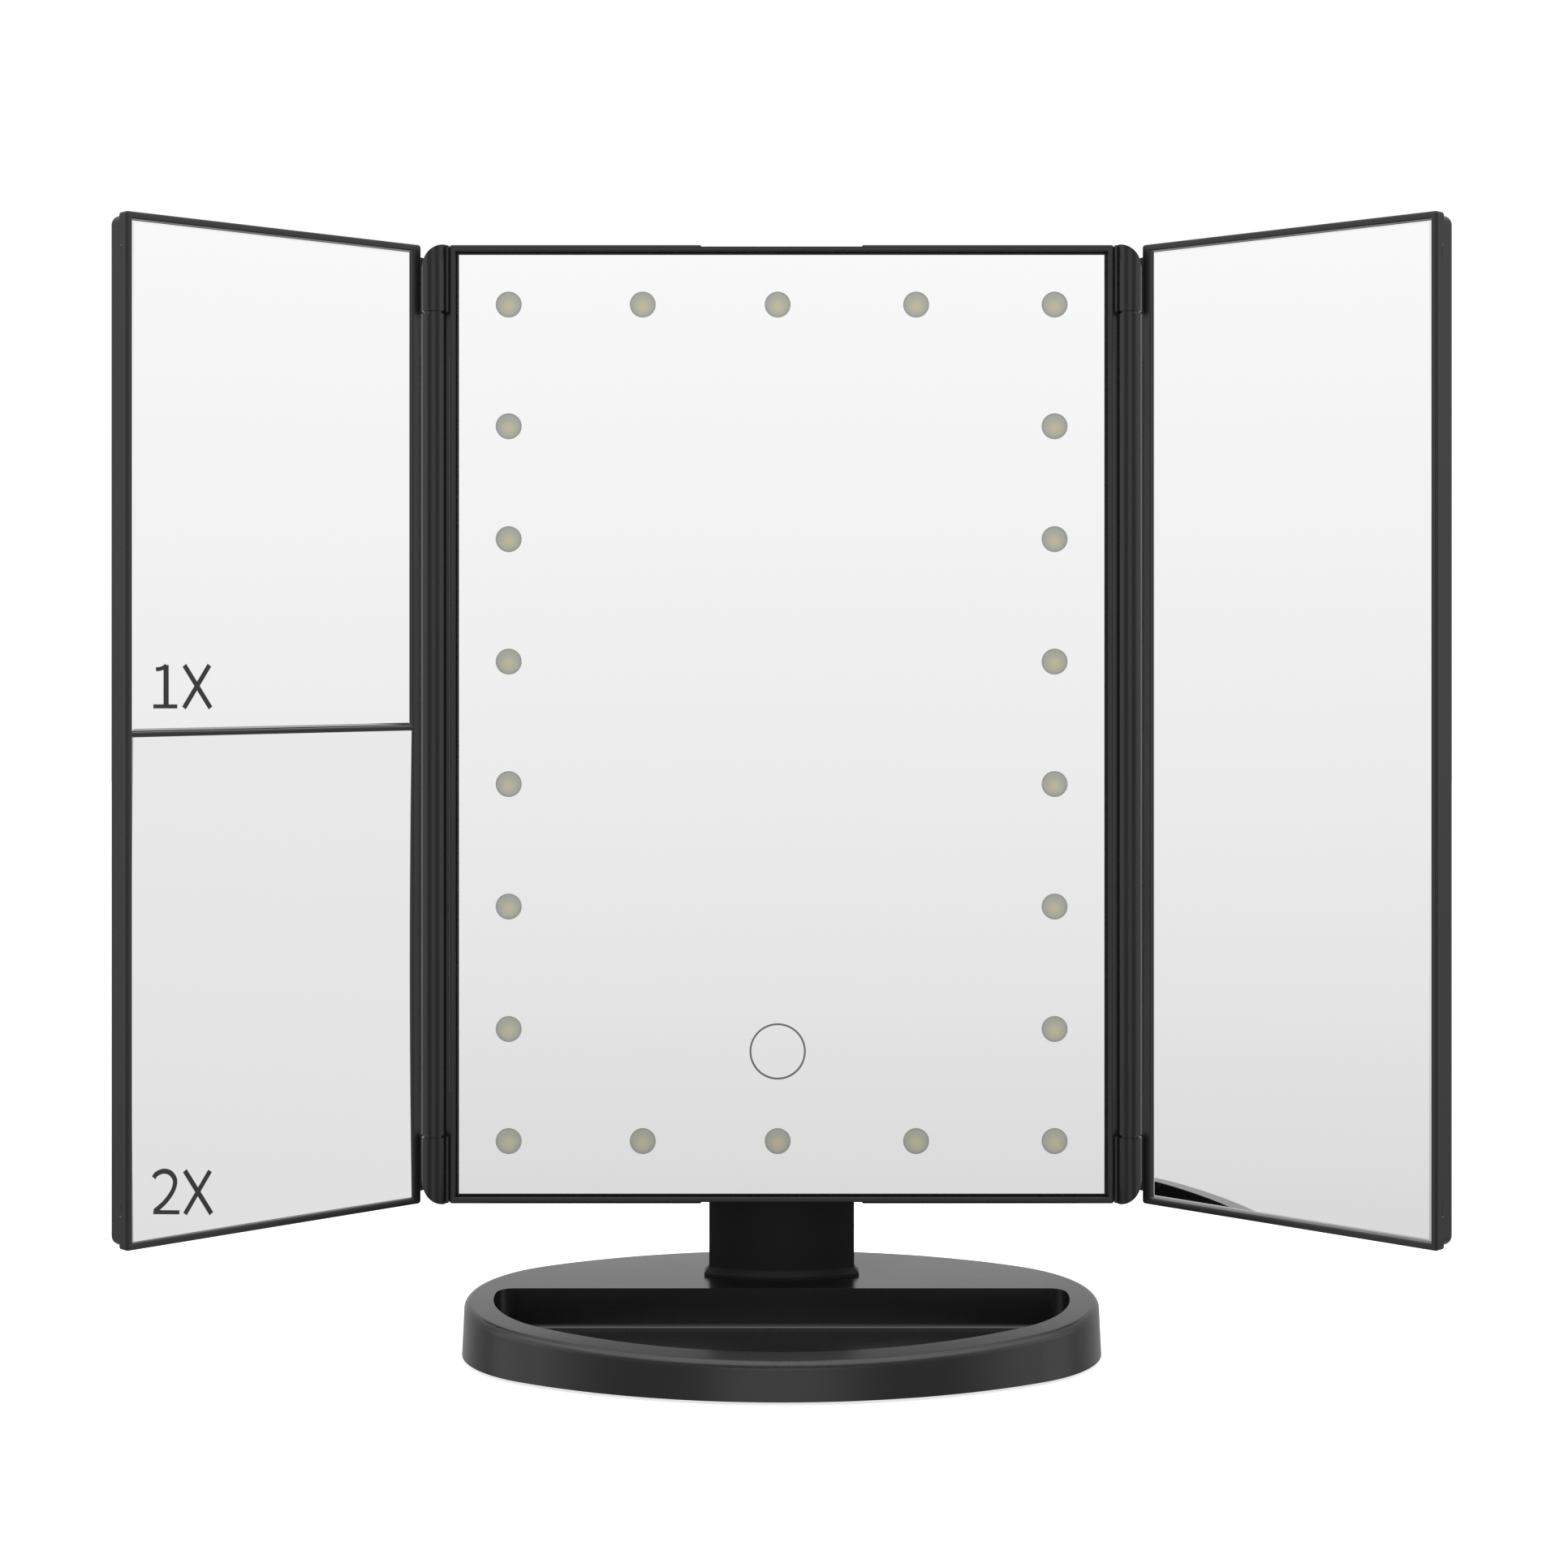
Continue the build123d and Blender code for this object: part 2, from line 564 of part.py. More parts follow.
# ---------------------------------------------------------------- neck


def neck_outline(grow):
    """Lens-shaped section of the neck, `grow` larger all round."""
    half_w = NECK_HALF_W + grow
    front = PIVOT_Y - KNUCKLE_R - grow
    back = PIVOT_Y + KNUCKLE_R + grow
    with BuildSketch(Plane.XY) as outline:
        with BuildLine():
            front_arc = ThreePointArc(
                (-half_w, front + NECK_SAG), (0, front), (half_w, front + NECK_SAG)
            )
            back_arc = ThreePointArc(
                (half_w, back - NECK_SAG), (0, back), (-half_w, back - NECK_SAG)
            )
            Line(front_arc @ 1, back_arc @ 0)
            Line(back_arc @ 1, front_arc @ 0)
        make_face()
    return outline.sketch


with BuildPart() as neck_form:
    # column from the collar to the pivot, with a round knuckle at its head
    with BuildSketch(Plane.XY.offset(COLLAR_EDGE_Z)):
        add(neck_outline(0))
    extrude(amount=PIVOT_Z - COLLAR_EDGE_Z)
    with BuildSketch(side_plane(0)):
        with Locations((PIVOT_Y, PIVOT_Z)):
            Circle(KNUCKLE_R)
    extrude(amount=NECK_HALF_W, both=True)

with BuildPart() as stand_neck:
    with BuildSketch(Plane.XY.offset(COLLAR_BOTTOM - COLLAR_H)):
        add(neck_outline(COLLAR_FLARE))
    extrude(amount=COLLAR_H + COLLAR_EDGE)
    with BuildSketch(Plane.XY.offset(COLLAR_EDGE_Z)):
        add(neck_outline(COLLAR_FLARE))
    with BuildSketch(Plane.XY.offset(COLLAR_TOP)):
        add(neck_outline(0))
    loft()
    add(base_form.part, mode=Mode.SUBTRACT)
    add(neck_form.part)
    with BuildSketch(Plane.XY.offset(COLLAR_EDGE_Z)):
        with Locations((0, PIVOT_Y)):
            Rectangle(2 * TONGUE_HALF_W, TONGUE_DEPTH)
    extrude(amount=-(COLLAR_EDGE + TONGUE_LENGTH))
    # window for the rear cover, and the hollow behind it
    with BuildSketch(Plane.XZ.offset(-COVER_SEAT_Y)):
        with Locations((0, COVER_Z)):
            RectangleRounded(2 * COVER_HALF_W, COVER_H, COVER_CORNER)
    extrude(amount=-NECK_DEPTH, mode=Mode.SUBTRACT)
    with BuildSketch(Plane.XZ.offset(-COVER_SEAT_Y)):
        with Locations((0, COVER_Z)):
            Rectangle(2 * NECK_CAVITY_HALF_W, NECK_CAVITY_H)
    extrude(amount=NECK_CAVITY_DEPTH, mode=Mode.SUBTRACT)
    with BuildSketch(Plane.XZ.offset(-NECK_SCREW_Y)):
        with Locations(*NECK_SCREWS):
            Circle(BASE_SCREW_R + SCREW_FIT)
    extrude(amount=NECK_SCREW_LENGTH, mode=Mode.SUBTRACT)
    with BuildSketch(Plane.XY.offset(COLLAR_BOTTOM - TONGUE_LENGTH)):
        with Locations(*STAND_SCREWS):
            Circle(BASE_SCREW_R + SCREW_FIT)
    extrude(amount=PLATE_TOP + SCREW_LENGTH - COLLAR_BOTTOM + TONGUE_LENGTH, mode=Mode.SUBTRACT)
    with BuildSketch(side_plane(0)):
        with Locations((PIVOT_Y, PIVOT_Z)):
            Circle(SHAFT_R + SHAFT_CLEAR)
    extrude(amount=BAR, both=True, mode=Mode.SUBTRACT)
stand_neck.part.label = "stand_neck"
export_step(stand_neck.part, "parts/stand_neck.step")

with BuildPart() as neck_cover:
    add(neck_form.part)
    with BuildSketch(Plane.XZ.offset(-COVER_SEAT_Y)):
        with Locations((0, COVER_Z)):
            RectangleRounded(2 * (COVER_HALF_W - COVER_GAP), COVER_H - 2 * COVER_GAP, COVER_CORNER)
    extrude(amount=-NECK_DEPTH, mode=Mode.INTERSECT)
    with BuildSketch(Plane.XZ.offset(-COVER_SEAT_Y)):
        with Locations(*NECK_SCREWS):
            Circle(BASE_SCREW_R + SCREW_FIT)
    extrude(amount=-NECK_DEPTH, mode=Mode.SUBTRACT)
    with BuildSketch(Plane.XZ.offset(-NECK_SCREW_Y)):
        with Locations(*NECK_SCREWS):
            Circle(SCREW_HEAD_R + HEAD_CLEAR)
    extrude(amount=-NECK_DEPTH, mode=Mode.SUBTRACT)
neck_cover.part.label = "neck_rear_cover"
export_step(neck_cover.part, "parts/neck_rear_cover.step")

with BuildPart() as neck_screws:
    with BuildSketch(Plane.XZ.offset(-NECK_SCREW_Y)):
        with Locations(*NECK_SCREWS):
            Circle(SCREW_HEAD_R)
    extrude(amount=-SCREW_HEAD_T)
    with BuildSketch(Plane.XZ.offset(-NECK_SCREW_Y)):
        with Locations(*NECK_SCREWS):
            Circle(BASE_SCREW_R)
    extrude(amount=NECK_SCREW_LENGTH)
    with BuildSketch(Plane.XZ.offset(-(NECK_SCREW_Y + SCREW_HEAD_T))):
        with Locations(*NECK_SCREWS):
            draw_cross_recess()
    extrude(amount=RECESS_DEPTH, mode=Mode.SUBTRACT)
neck_screws.part.label = "neck_screws"
export_step(neck_screws.part, "parts/neck_screws.step")

# ---------------------------------------------------------------- tilt shaft, nut and washers

with BuildPart() as tilt_shaft:
    with BuildSketch(side_plane(-NUT_SEAT_X - NUT_T)):
        with Locations((PIVOT_Y, PIVOT_Z)):
            Circle(SHAFT_R)
    extrude(amount=NUT_SEAT_X + NUT_T + HEAD_SEAT_X)
    with BuildSketch(side_plane(HEAD_SEAT_X)):
        with Locations((PIVOT_Y, PIVOT_Z)):
            Circle(SHAFT_HEAD_R)
    extrude(amount=SHAFT_HEAD_T)
    with BuildSketch(side_plane(HEAD_SEAT_X + SHAFT_HEAD_T)):
        with Locations((PIVOT_Y, PIVOT_Z)):
            Rectangle(BAR, SHAFT_SLOT_W)
    extrude(amount=-SHAFT_SLOT_DEPTH, mode=Mode.SUBTRACT)
tilt_shaft.part.label = "tilt_shaft"
export_step(tilt_shaft.part, "parts/tilt_shaft.step")

with BuildPart() as lock_nut:
    with BuildSketch(side_plane(-NUT_SEAT_X)):
        with Locations((PIVOT_Y, PIVOT_Z)):
            RegularPolygon(NUT_HALF_FLATS, 6, major_radius=False)
            Circle(SHAFT_R + SCREW_FIT, mode=Mode.SUBTRACT)
    extrude(amount=-NUT_T)
lock_nut.part.label = "tilt_lock_nut"
export_step(lock_nut.part, "parts/tilt_lock_nut.step")

with BuildPart() as washers:
    for start in (-NECK_HALF_W - WASHER_T, NECK_HALF_W):
        with BuildSketch(side_plane(start)):
            with Locations((PIVOT_Y, PIVOT_Z)):
                Circle(WASHER_R)
                Circle(SHAFT_R + SHAFT_CLEAR, mode=Mode.SUBTRACT)
        extrude(amount=WASHER_T)
washers.part.label = "friction_washers"
export_step(washers.part, "parts/friction_washers.step")

# ---------------------------------------------------------------- centre frame, glass and lights

with BuildPart() as notch_cutters:
    # shallow dips at the middle of the panel's top and bottom edges
    with BuildSketch(panel_plane(-RIM_ROUND)):
        with Locations((0, PANEL_BOTTOM), (0, PANEL_TOP)):
            RectangleRounded(NOTCH_W, 2 * NOTCH_DEPTH, NOTCH_ROUND)
    extrude(amount=-(PANEL_DEPTH + 2 * RIM_ROUND))

with BuildPart() as center_bezel:
    with BuildSketch(panel_plane(0)):
        with Locations((0, PANEL_MID)):
            RectangleRounded(PANEL_W, PANEL_H, FRAME_CORNER)
    extrude(amount=-FRAME_DEPTH)
    fillet(center_bezel.edges().group_by(Axis.Y)[0], RIM_ROUND)
    with BuildSketch(panel_plane(0)):
        with Locations((0, PANEL_MID)):
            Rectangle(OPENING_W, OPENING_H)
    extrude(amount=-GLASS_BACK, mode=Mode.SUBTRACT)
    fillet(center_bezel.edges(Select.LAST).group_by(Axis.Y)[0], RIM_INNER_ROUND)
    with BuildSketch(panel_plane(GLASS_BACK)):
        with Locations((0, PANEL_MID)):
            Rectangle(LEDGE_OPENING_W, LEDGE_OPENING_H)
    extrude(amount=-LEDGE_T, mode=Mode.SUBTRACT)
    add(notch_cutters.part, mode=Mode.SUBTRACT)
center_bezel.part.label = "center_bezel"
export_step(center_bezel.part, "parts/center_bezel.step")

with BuildPart() as center_mirror:
    with BuildSketch(panel_plane(GLASS_SETBACK)):
        with Locations((0, PANEL_MID)):
            Rectangle(GLASS_W, GLASS_H)
    extrude(amount=-GLASS_T)
    chamfer(center_mirror.edges().group_by(Axis.Y)[0], GLASS_BEVEL)
    # frosted windows and the outline of the touch key are etched into the glass
    with BuildSketch(panel_plane(GLASS_SETBACK)):
        with Locations(*LED_POINTS):
            Circle(LED_WINDOW_R)
        with Locations((TOUCH_X, TOUCH_Z)):
            Circle(TOUCH_R + TOUCH_LINE / 2)
            Circle(TOUCH_R - TOUCH_LINE / 2, mode=Mode.SUBTRACT)
    extrude(amount=-ETCH_DEPTH, mode=Mode.SUBTRACT)
center_mirror.part.label = "center_mirror"
export_step(center_mirror.part, "parts/center_mirror.step")

with BuildPart() as foam_pad:
    with BuildSketch(panel_plane(GLASS_BACK)):
        with Locations((0, PANEL_MID)):
            Rectangle(LEDGE_OPENING_W - 2 * GLASS_GAP, LEDGE_OPENING_H - 2 * GLASS_GAP)
        with Locations(*LED_POINTS):
            Rectangle(PAD_HOLE, PAD_HOLE, mode=Mode.SUBTRACT)
        with Locations((TOUCH_X, TOUCH_Z)):
            Rectangle(PAD_TOUCH_HOLE, PAD_TOUCH_HOLE, mode=Mode.SUBTRACT)
    extrude(amount=-PAD_T)
foam_pad.part.label = "mirror_foam_pad"
export_step(foam_pad.part, "parts/mirror_foam_pad.step")

with BuildPart() as led_board:
    with BuildSketch(panel_plane(BOARD_FRONT)):
        with Locations((0, LED_MID_Z)):
            Rectangle(LED_SPAN_X + BOARD_W, LED_SPAN_Z + BOARD_W)
            Rectangle(LED_SPAN_X - BOARD_W, LED_SPAN_Z - BOARD_W, mode=Mode.SUBTRACT)
    extrude(amount=-BOARD_T)
led_board.part.label = "led_board"
export_step(led_board.part, "parts/led_board.step")

with BuildPart() as led_chips:
    with BuildSketch(panel_plane(BOARD_FRONT)):
        with Locations(*LED_POINTS):
            Rectangle(CHIP_W, CHIP_H)
    extrude(amount=CHIP_T)
led_chips.part.label = "led_chips"
export_step(led_chips.part, "parts/led_chips.step")

with BuildPart() as touch_electrode:
    with BuildSketch(panel_plane(GLASS_BACK)):
        with Locations((TOUCH_X, TOUCH_Z)):
            Circle(TOUCH_R - TOUCH_LINE / 2)
    extrude(amount=-ELECTRODE_T)
touch_electrode.part.label = "touch_electrode"
export_step(touch_electrode.part, "parts/touch_electrode.step")

with BuildPart() as touch_post:
    with BuildSketch(panel_plane(GLASS_BACK + ELECTRODE_T)):
        with Locations((TOUCH_X, TOUCH_Z)):
            Circle(TOUCH_POST_R)
            Circle(TOUCH_POST_BORE_R, mode=Mode.SUBTRACT)
    extrude(amount=-(CONTROL_SETBACK - GLASS_BACK - ELECTRODE_T))
touch_post.part.label = "touch_contact"
export_step(touch_post.part, "parts/touch_contact.step")

# ---------------------------------------------------------------- control board, switch, inlet

with BuildPart() as control_board:
    with BuildSketch(panel_plane(CONTROL_SETBACK)):
        with Locations((CONTROL_MID_X, CONTROL_MID_Z)):
            Rectangle(CONTROL_W, CONTROL_H)
        with Locations(*STANDOFFS):
            Circle(BOARD_SCREW_R + SCREW_FIT, mode=Mode.SUBTRACT)
    extrude(amount=-CONTROL_T)
control_board.part.label = "control_board"
export_step(control_board.part, "parts/control_board.step")

with BuildPart() as board_screws:
    with BuildSketch(panel_plane(CONTROL_SETBACK)):
        with Locations(*STANDOFFS):
            Circle(BOARD_SCREW_HEAD_R)
    extrude(amount=BOARD_SCREW_HEAD_T)
    with BuildSketch(panel_plane(CONTROL_SETBACK)):
        with Locations(*STANDOFFS):
            Circle(BOARD_SCREW_R)
    extrude(amount=-BOARD_SCREW_LENGTH)
board_screws.part.label = "board_screws"
export_step(board_screws.part, "parts/board_screws.step")

with BuildPart() as switch_body:
    with BuildSketch(panel_plane(CONTROL_BACK)):
        with Locations((SWITCH_X, CONTROL_MID_Z)):
            Rectangle(SWITCH_W, SWITCH_POCKET_H + 2 * SWITCH_WALL)
    extrude(amount=-(INNER_BACK - CONTROL_BACK))
    with BuildSketch(panel_plane(INNER_BACK)):
        with Locations((SWITCH_X, CONTROL_MID_Z)):
            Rectangle(SWITCH_POCKET_W, SWITCH_POCKET_H)
    extrude(amount=SLIDER_FOOT_T + 2 * WINDOW_GAP, mode=Mode.SUBTRACT)
switch_body.part.label = "power_switch_body"
export_step(switch_body.part, "parts/power_switch_body.step")

with BuildPart() as switch_slider:
    with BuildSketch(panel_plane(INNER_BACK - WINDOW_GAP)):
        with Locations((SWITCH_X - SWITCH_TRAVEL / 2, CONTROL_MID_Z)):
            Rectangle(SLIDER_FOOT_W, SLIDER_FOOT_H)
    extrude(amount=SLIDER_FOOT_T)
    with BuildSketch(panel_plane(INNER_BACK - WINDOW_GAP)):
        with Locations((SWITCH_X - SWITCH_TRAVEL / 2, CONTROL_MID_Z)):
            Rectangle(KNOB_W, KNOB_H)
    extrude(amount=-(HOUSING_WALL + WINDOW_GAP + KNOB_PROUD))
    fillet(switch_slider.edges().group_by(Axis.Y)[-1], KNOB_ROUND)
switch_slider.part.label = "power_switch_slider"
export_step(switch_slider.part, "parts/power_switch_slider.step")

with BuildPart() as power_inlet:
    with BuildSketch(panel_plane(CONTROL_BACK)):
        with Locations((INLET_X, CONTROL_MID_Z)):
            SlotOverall(INLET_W, INLET_H)
    extrude(amount=-(PANEL_DEPTH - INLET_SINK - CONTROL_BACK))
    with BuildSketch(panel_plane(PANEL_DEPTH - INLET_SINK)):
        with Locations((INLET_X, CONTROL_MID_Z)):
            SlotOverall(INLET_W - 2 * INLET_WALL, INLET_H - 2 * INLET_WALL)
            Rectangle(INLET_TONGUE_W, INLET_TONGUE_T, mode=Mode.SUBTRACT)
    extrude(amount=PANEL_DEPTH - INLET_SINK - CONTROL_BACK - INLET_WALL, mode=Mode.SUBTRACT)
power_inlet.part.label = "power_inlet"
export_step(power_inlet.part, "parts/power_inlet.step")

# ---------------------------------------------------------------- rear housing


def door_section(grow):
    """Dovetail section of the battery door in plan, `grow` larger all round."""
    front = PANEL_FRONT + DOOR_FRONT - grow
    back = PANEL_FRONT + DOOR_BACK + grow
    lean = DOOR_SLOPE * grow / DOOR_T
    wide = DOOR_HALF_W + grow + lean
    narrow = DOOR_HALF_W - DOOR_SLOPE + grow - lean
    with BuildSketch(Plane.XY) as section:
        with BuildLine():
            Polyline((-wide, front), (wide, front), (narrow, back), (-narrow, back), close=True)
        make_face()
    return section.sketch


with BuildPart() as housing_form:
    with BuildSketch(panel_plane(FRAME_DEPTH)):
        with Locations((0, PANEL_MID)):
            RectangleRounded(HOUSING_W, HOUSING_H, HOUSING_CORNER)
    extrude(amount=-(PANEL_DEPTH - FRAME_DEPTH))
    fillet(housing_form.edges().group_by(Axis.Y)[-1], HOUSING_ROUND)

with BuildPart() as neck_pocket_block:
    # walls round the pocket that the neck's knuckle turns in
    with BuildSketch(side_plane(0)):
        with BuildLine():
            Polyline(
                (PANEL_FRONT + FRAME_DEPTH, PANEL_BOTTOM),
                (PANEL_FRONT + POCKET_DEPTH - POCKET_WALL, PIVOT_Z),
                (PANEL_FRONT + POCKET_DEPTH - POCKET_WALL, POCKET_TOP + POCKET_WALL),
                (PANEL_FRONT + PANEL_DEPTH, POCKET_TOP + POCKET_WALL),
                (PANEL_FRONT + PANEL_DEPTH, PANEL_BOTTOM),
                close=True,
            )
        make_face()
    extrude(amount=EAR_START + POCKET_WALL, both=True)
    add(housing_form.part, mode=Mode.INTERSECT)

with BuildPart() as hinge_caps:
    # fixed knuckles above and below each wing's barrel, on arms behind the centre frame
    for hand in (-1, 1):
        with BuildSketch(Plane.XY.offset(PANEL_BOTTOM)):
            with Locations((hand * HINGE_X, HINGE_Y)):
                Circle(BARREL_R)
            with BuildLine():
                Polyline(
                    (hand * CAP_ARM_SIDE, HINGE_Y),
                    (hand * HINGE_X, HINGE_Y),
                    (hand * HINGE_X, HINGE_Y + BARREL_R),
                    (hand * CAP_ARM_SIDE, PANEL_FRONT + CAP_ARM_DEPTH),
                    (hand * CAP_ARM_ROOT, PANEL_FRONT + CAP_ARM_DEPTH),
                    (hand * CAP_ARM_ROOT, PANEL_FRONT + FRAME_DEPTH),
                    (hand * CAP_ARM_SIDE, PANEL_FRONT + FRAME_DEPTH),
                    close=True,
                )
            make_face()
        extrude(amount=PANEL_H)
    with BuildSketch(panel_plane(-BARREL_R)):
        with Locations((0, PANEL_MID)):
            RectangleRounded(2 * (HINGE_X + BARREL_R), PANEL_H, CAP_ROUND)
            Rectangle(2 * (HINGE_X + BARREL_R), PANEL_H - 2 * CAP_H, mode=Mode.SUBTRACT)
    extrude(amount=-BAR, mode=Mode.INTERSECT)
    # a shoulder on each cap, which the barrel turns against
    for face_z, grow in ((PANEL_BOTTOM + CAP_H, 1), (PANEL_TOP - CAP_H, -1)):
        with BuildSketch(Plane.XY.offset(face_z)):
            with Locations((-HINGE_X, HINGE_Y), (HINGE_X, HINGE_Y)):
                Circle(BARREL_R - SHOULDER_STEP)
        extrude(amount=grow * (CAP_GAP - SHOULDER_PLAY))
    # guards that close the gap between frame and barrel from behind
    with BuildSketch(Plane.XY.offset(PANEL_BOTTOM + CAP_H)):
        for hand in (-1, 1):
            with Locations(
                (hand * (CAP_ARM_ROOT + HINGE_X - GUARD_END) / 2, PANEL_FRONT + CAP_ARM_DEPTH)
            ):
                Rectangle(
                    HINGE_X - GUARD_END - CAP_ARM_ROOT, GUARD_T, align=(Align.CENTER, Align.MAX)
                )
    extrude(amount=PANEL_H - 2 * CAP_H)
    with BuildSketch(Plane.XY.offset(PANEL_BOTTOM + CAP_H - PIN_DEPTH)):
        with Locations((-HINGE_X, HINGE_Y), (HINGE_X, HINGE_Y)):
            Circle(HINGE_PIN_R + SCREW_FIT)
    extrude(amount=PANEL_H - 2 * (CAP_H - PIN_DEPTH), mode=Mode.SUBTRACT)

with BuildPart() as rear_housing:
    add(housing_form.part)
    with BuildSketch(panel_plane(FRAME_DEPTH)):
        with Locations((0, PANEL_MID)):
            RectangleRounded(
                HOUSING_W - 2 * HOUSING_WALL,
                HOUSING_H - 2 * HOUSING_WALL,
                HOUSING_CORNER - HOUSING_WALL,
            )
    extrude(amount=-(INNER_BACK - FRAME_DEPTH), mode=Mode.SUBTRACT)
    add(neck_pocket_block.part)
    with BuildSketch(panel_plane(BOARD_FRONT + BOARD_T)):
        with Locations((0, LED_MID_Z)):
            Rectangle(LED_SPAN_X + LED_RIB_T, LED_SPAN_Z + LED_RIB_T)
            Rectangle(LED_SPAN_X - LED_RIB_T, LED_SPAN_Z - LED_RIB_T, mode=Mode.SUBTRACT)
    extrude(amount=-(INNER_BACK - BOARD_FRONT - BOARD_T))
    with BuildSketch(panel_plane(CONTROL_BACK)):
        with Locations(*STANDOFFS):
            Circle(STANDOFF_R)
    extrude(amount=-(INNER_BACK - CONTROL_BACK))
    with BuildSketch(panel_plane(CONTROL_BACK)):
        with Locations(*STANDOFFS):
            Circle(BOARD_SCREW_R + SCREW_FIT)
    extrude(amount=-(BOARD_SCREW_LENGTH - CONTROL_T), mode=Mode.SUBTRACT)
    # pocket for the neck, open at the back and at the bottom
    with BuildSketch(side_plane(0)):
        with BuildLine():
            Polyline(
                (PANEL_FRONT + POCKET_MOUTH_DEPTH, PANEL_BOTTOM),
                (PANEL_FRONT + POCKET_DEPTH, PIVOT_Z),
                (PANEL_FRONT + POCKET_DEPTH, POCKET_TOP),
                (PIVOT_Y, POCKET_TOP),
                (PIVOT_Y, PANEL_BOTTOM),
                close=True,
            )
        make_face()
    extrude(amount=EAR_START, both=True, mode=Mode.SUBTRACT)
    # ears that carry the tilt shaft
    for start in (-EAR_END, EAR_START):
        with BuildSketch(side_plane(start)):
            with Locations((PIVOT_Y, PIVOT_Z)):
                Circle(KNUCKLE_R)
            with BuildLine():
                Polyline(
                    (PANEL_FRONT + INNER_BACK, PIVOT_Z - EAR_ROOT_HALF_H),
                    (PIVOT_Y, PIVOT_Z - KNUCKLE_R),
                    (PIVOT_Y, PIVOT_Z + KNUCKLE_R),
                    (PANEL_FRONT + INNER_BACK, PIVOT_Z + EAR_ROOT_HALF_H),
                    close=True,
                )
            make_face()
        extrude(amount=EAR_T)
    with BuildSketch(side_plane(0)):
        with Locations((PIVOT_Y, PIVOT_Z)):
            Circle(SHAFT_R + SHAFT_CLEAR)
    extrude(amount=EAR_END, both=True, mode=Mode.SUBTRACT)
    with BuildSketch(side_plane(HEAD_SEAT_X)):
        with Locations((PIVOT_Y, PIVOT_Z)):
            Circle(SHAFT_HEAD_R + HEAD_CLEAR)
    extrude(amount=EAR_T, mode=Mode.SUBTRACT)
    with BuildSketch(side_plane(-NUT_SEAT_X)):
        with Locations((PIVOT_Y, PIVOT_Z)):
            RegularPolygon(NUT_HALF_FLATS + SCREW_FIT, 6, major_radius=False)
    extrude(amount=-EAR_T, mode=Mode.SUBTRACT)
    # battery box
    with BuildSketch(Plane.XY.offset(BATTERY_BOTTOM)):
        with Locations((0, PANEL_FRONT + BOARD_FRONT)):
            Rectangle(
                2 * BATTERY_HALF_W, DOOR_BACK - BOARD_FRONT, align=(Align.CENTER, Align.MIN)
            )
    extrude(amount=BATTERY_TOP - BATTERY_BOTTOM)
    with BuildSketch(Plane.XY.offset(BAY_BOTTOM)):
        with Locations((0, PANEL_FRONT + BAY_FLOOR)):
            Rectangle(2 * BAY_HALF_W, DOOR_BACK, align=(Align.CENTER, Align.MIN))
    extrude(amount=BAY_LENGTH, mode=Mode.SUBTRACT)
    with BuildSketch(Plane.XY.offset(BAY_BOTTOM)):
        add(door_section(DOOR_GAP))
    extrude(amount=BAR, mode=Mode.SUBTRACT)
    # windows for the power switch and the inlet
    with BuildSketch(panel_plane(PANEL_DEPTH)):
        with Locations((SWITCH_X, CONTROL_MID_Z)):
            Rectangle(KNOB_W + SWITCH_TRAVEL + 2 * WINDOW_GAP, KNOB_H + 2 * WINDOW_GAP)
        with Locations((INLET_X, CONTROL_MID_Z)):
            SlotOverall(INLET_W + 2 * WINDOW_GAP, INLET_H + 2 * WINDOW_GAP)
    extrude(amount=HOUSING_WALL, mode=Mode.SUBTRACT)
    add(notch_cutters.part, mode=Mode.SUBTRACT)
    add(hinge_caps.part)
rear_housing.part.label = "rear_housing"
export_step(rear_housing.part, "parts/rear_housing.step")

with BuildPart() as hinge_pins:
    for bottom in (PANEL_BOTTOM + CAP_H - PIN_DEPTH, BARREL_TOP - PIN_DEPTH):
        with BuildSketch(Plane.XY.offset(bottom)):
            with Locations((-HINGE_X, HINGE_Y), (HINGE_X, HINGE_Y)):
                Circle(HINGE_PIN_R)
        extrude(amount=2 * PIN_DEPTH + CAP_GAP)
hinge_pins.part.label = "hinge_pins"
export_step(hinge_pins.part, "parts/hinge_pins.step")

# ---------------------------------------------------------------- batteries and their door

for number in range(CELL_COUNT):
    cell_x = (number - (CELL_COUNT - 1) / 2) * CELL_PITCH
    nub_up = number % 2 == 0
    cell_start = BAY_BOTTOM + CONTACT_PLATE_T + (CONTACT_BUMP_H if nub_up else CELL_NUB_H)
    nub_start = cell_start + CELL_LENGTH if nub_up else cell_start - CELL_NUB_H
    with BuildPart() as cell:
        with BuildSketch(Plane.XY.offset(cell_start)):
            with Locations((cell_x, CELL_Y)):
                Circle(CELL_R)
        extrude(amount=CELL_LENGTH)
        with BuildSketch(Plane.XY.offset(nub_start)):
            with Locations((cell_x, CELL_Y)):
                Circle(CELL_NUB_R)
        extrude(amount=CELL_NUB_H)
    cell.part.label = f"battery_cell_{number + 1}"
    export_step(cell.part, f"parts/battery_cell_{number + 1}.step")

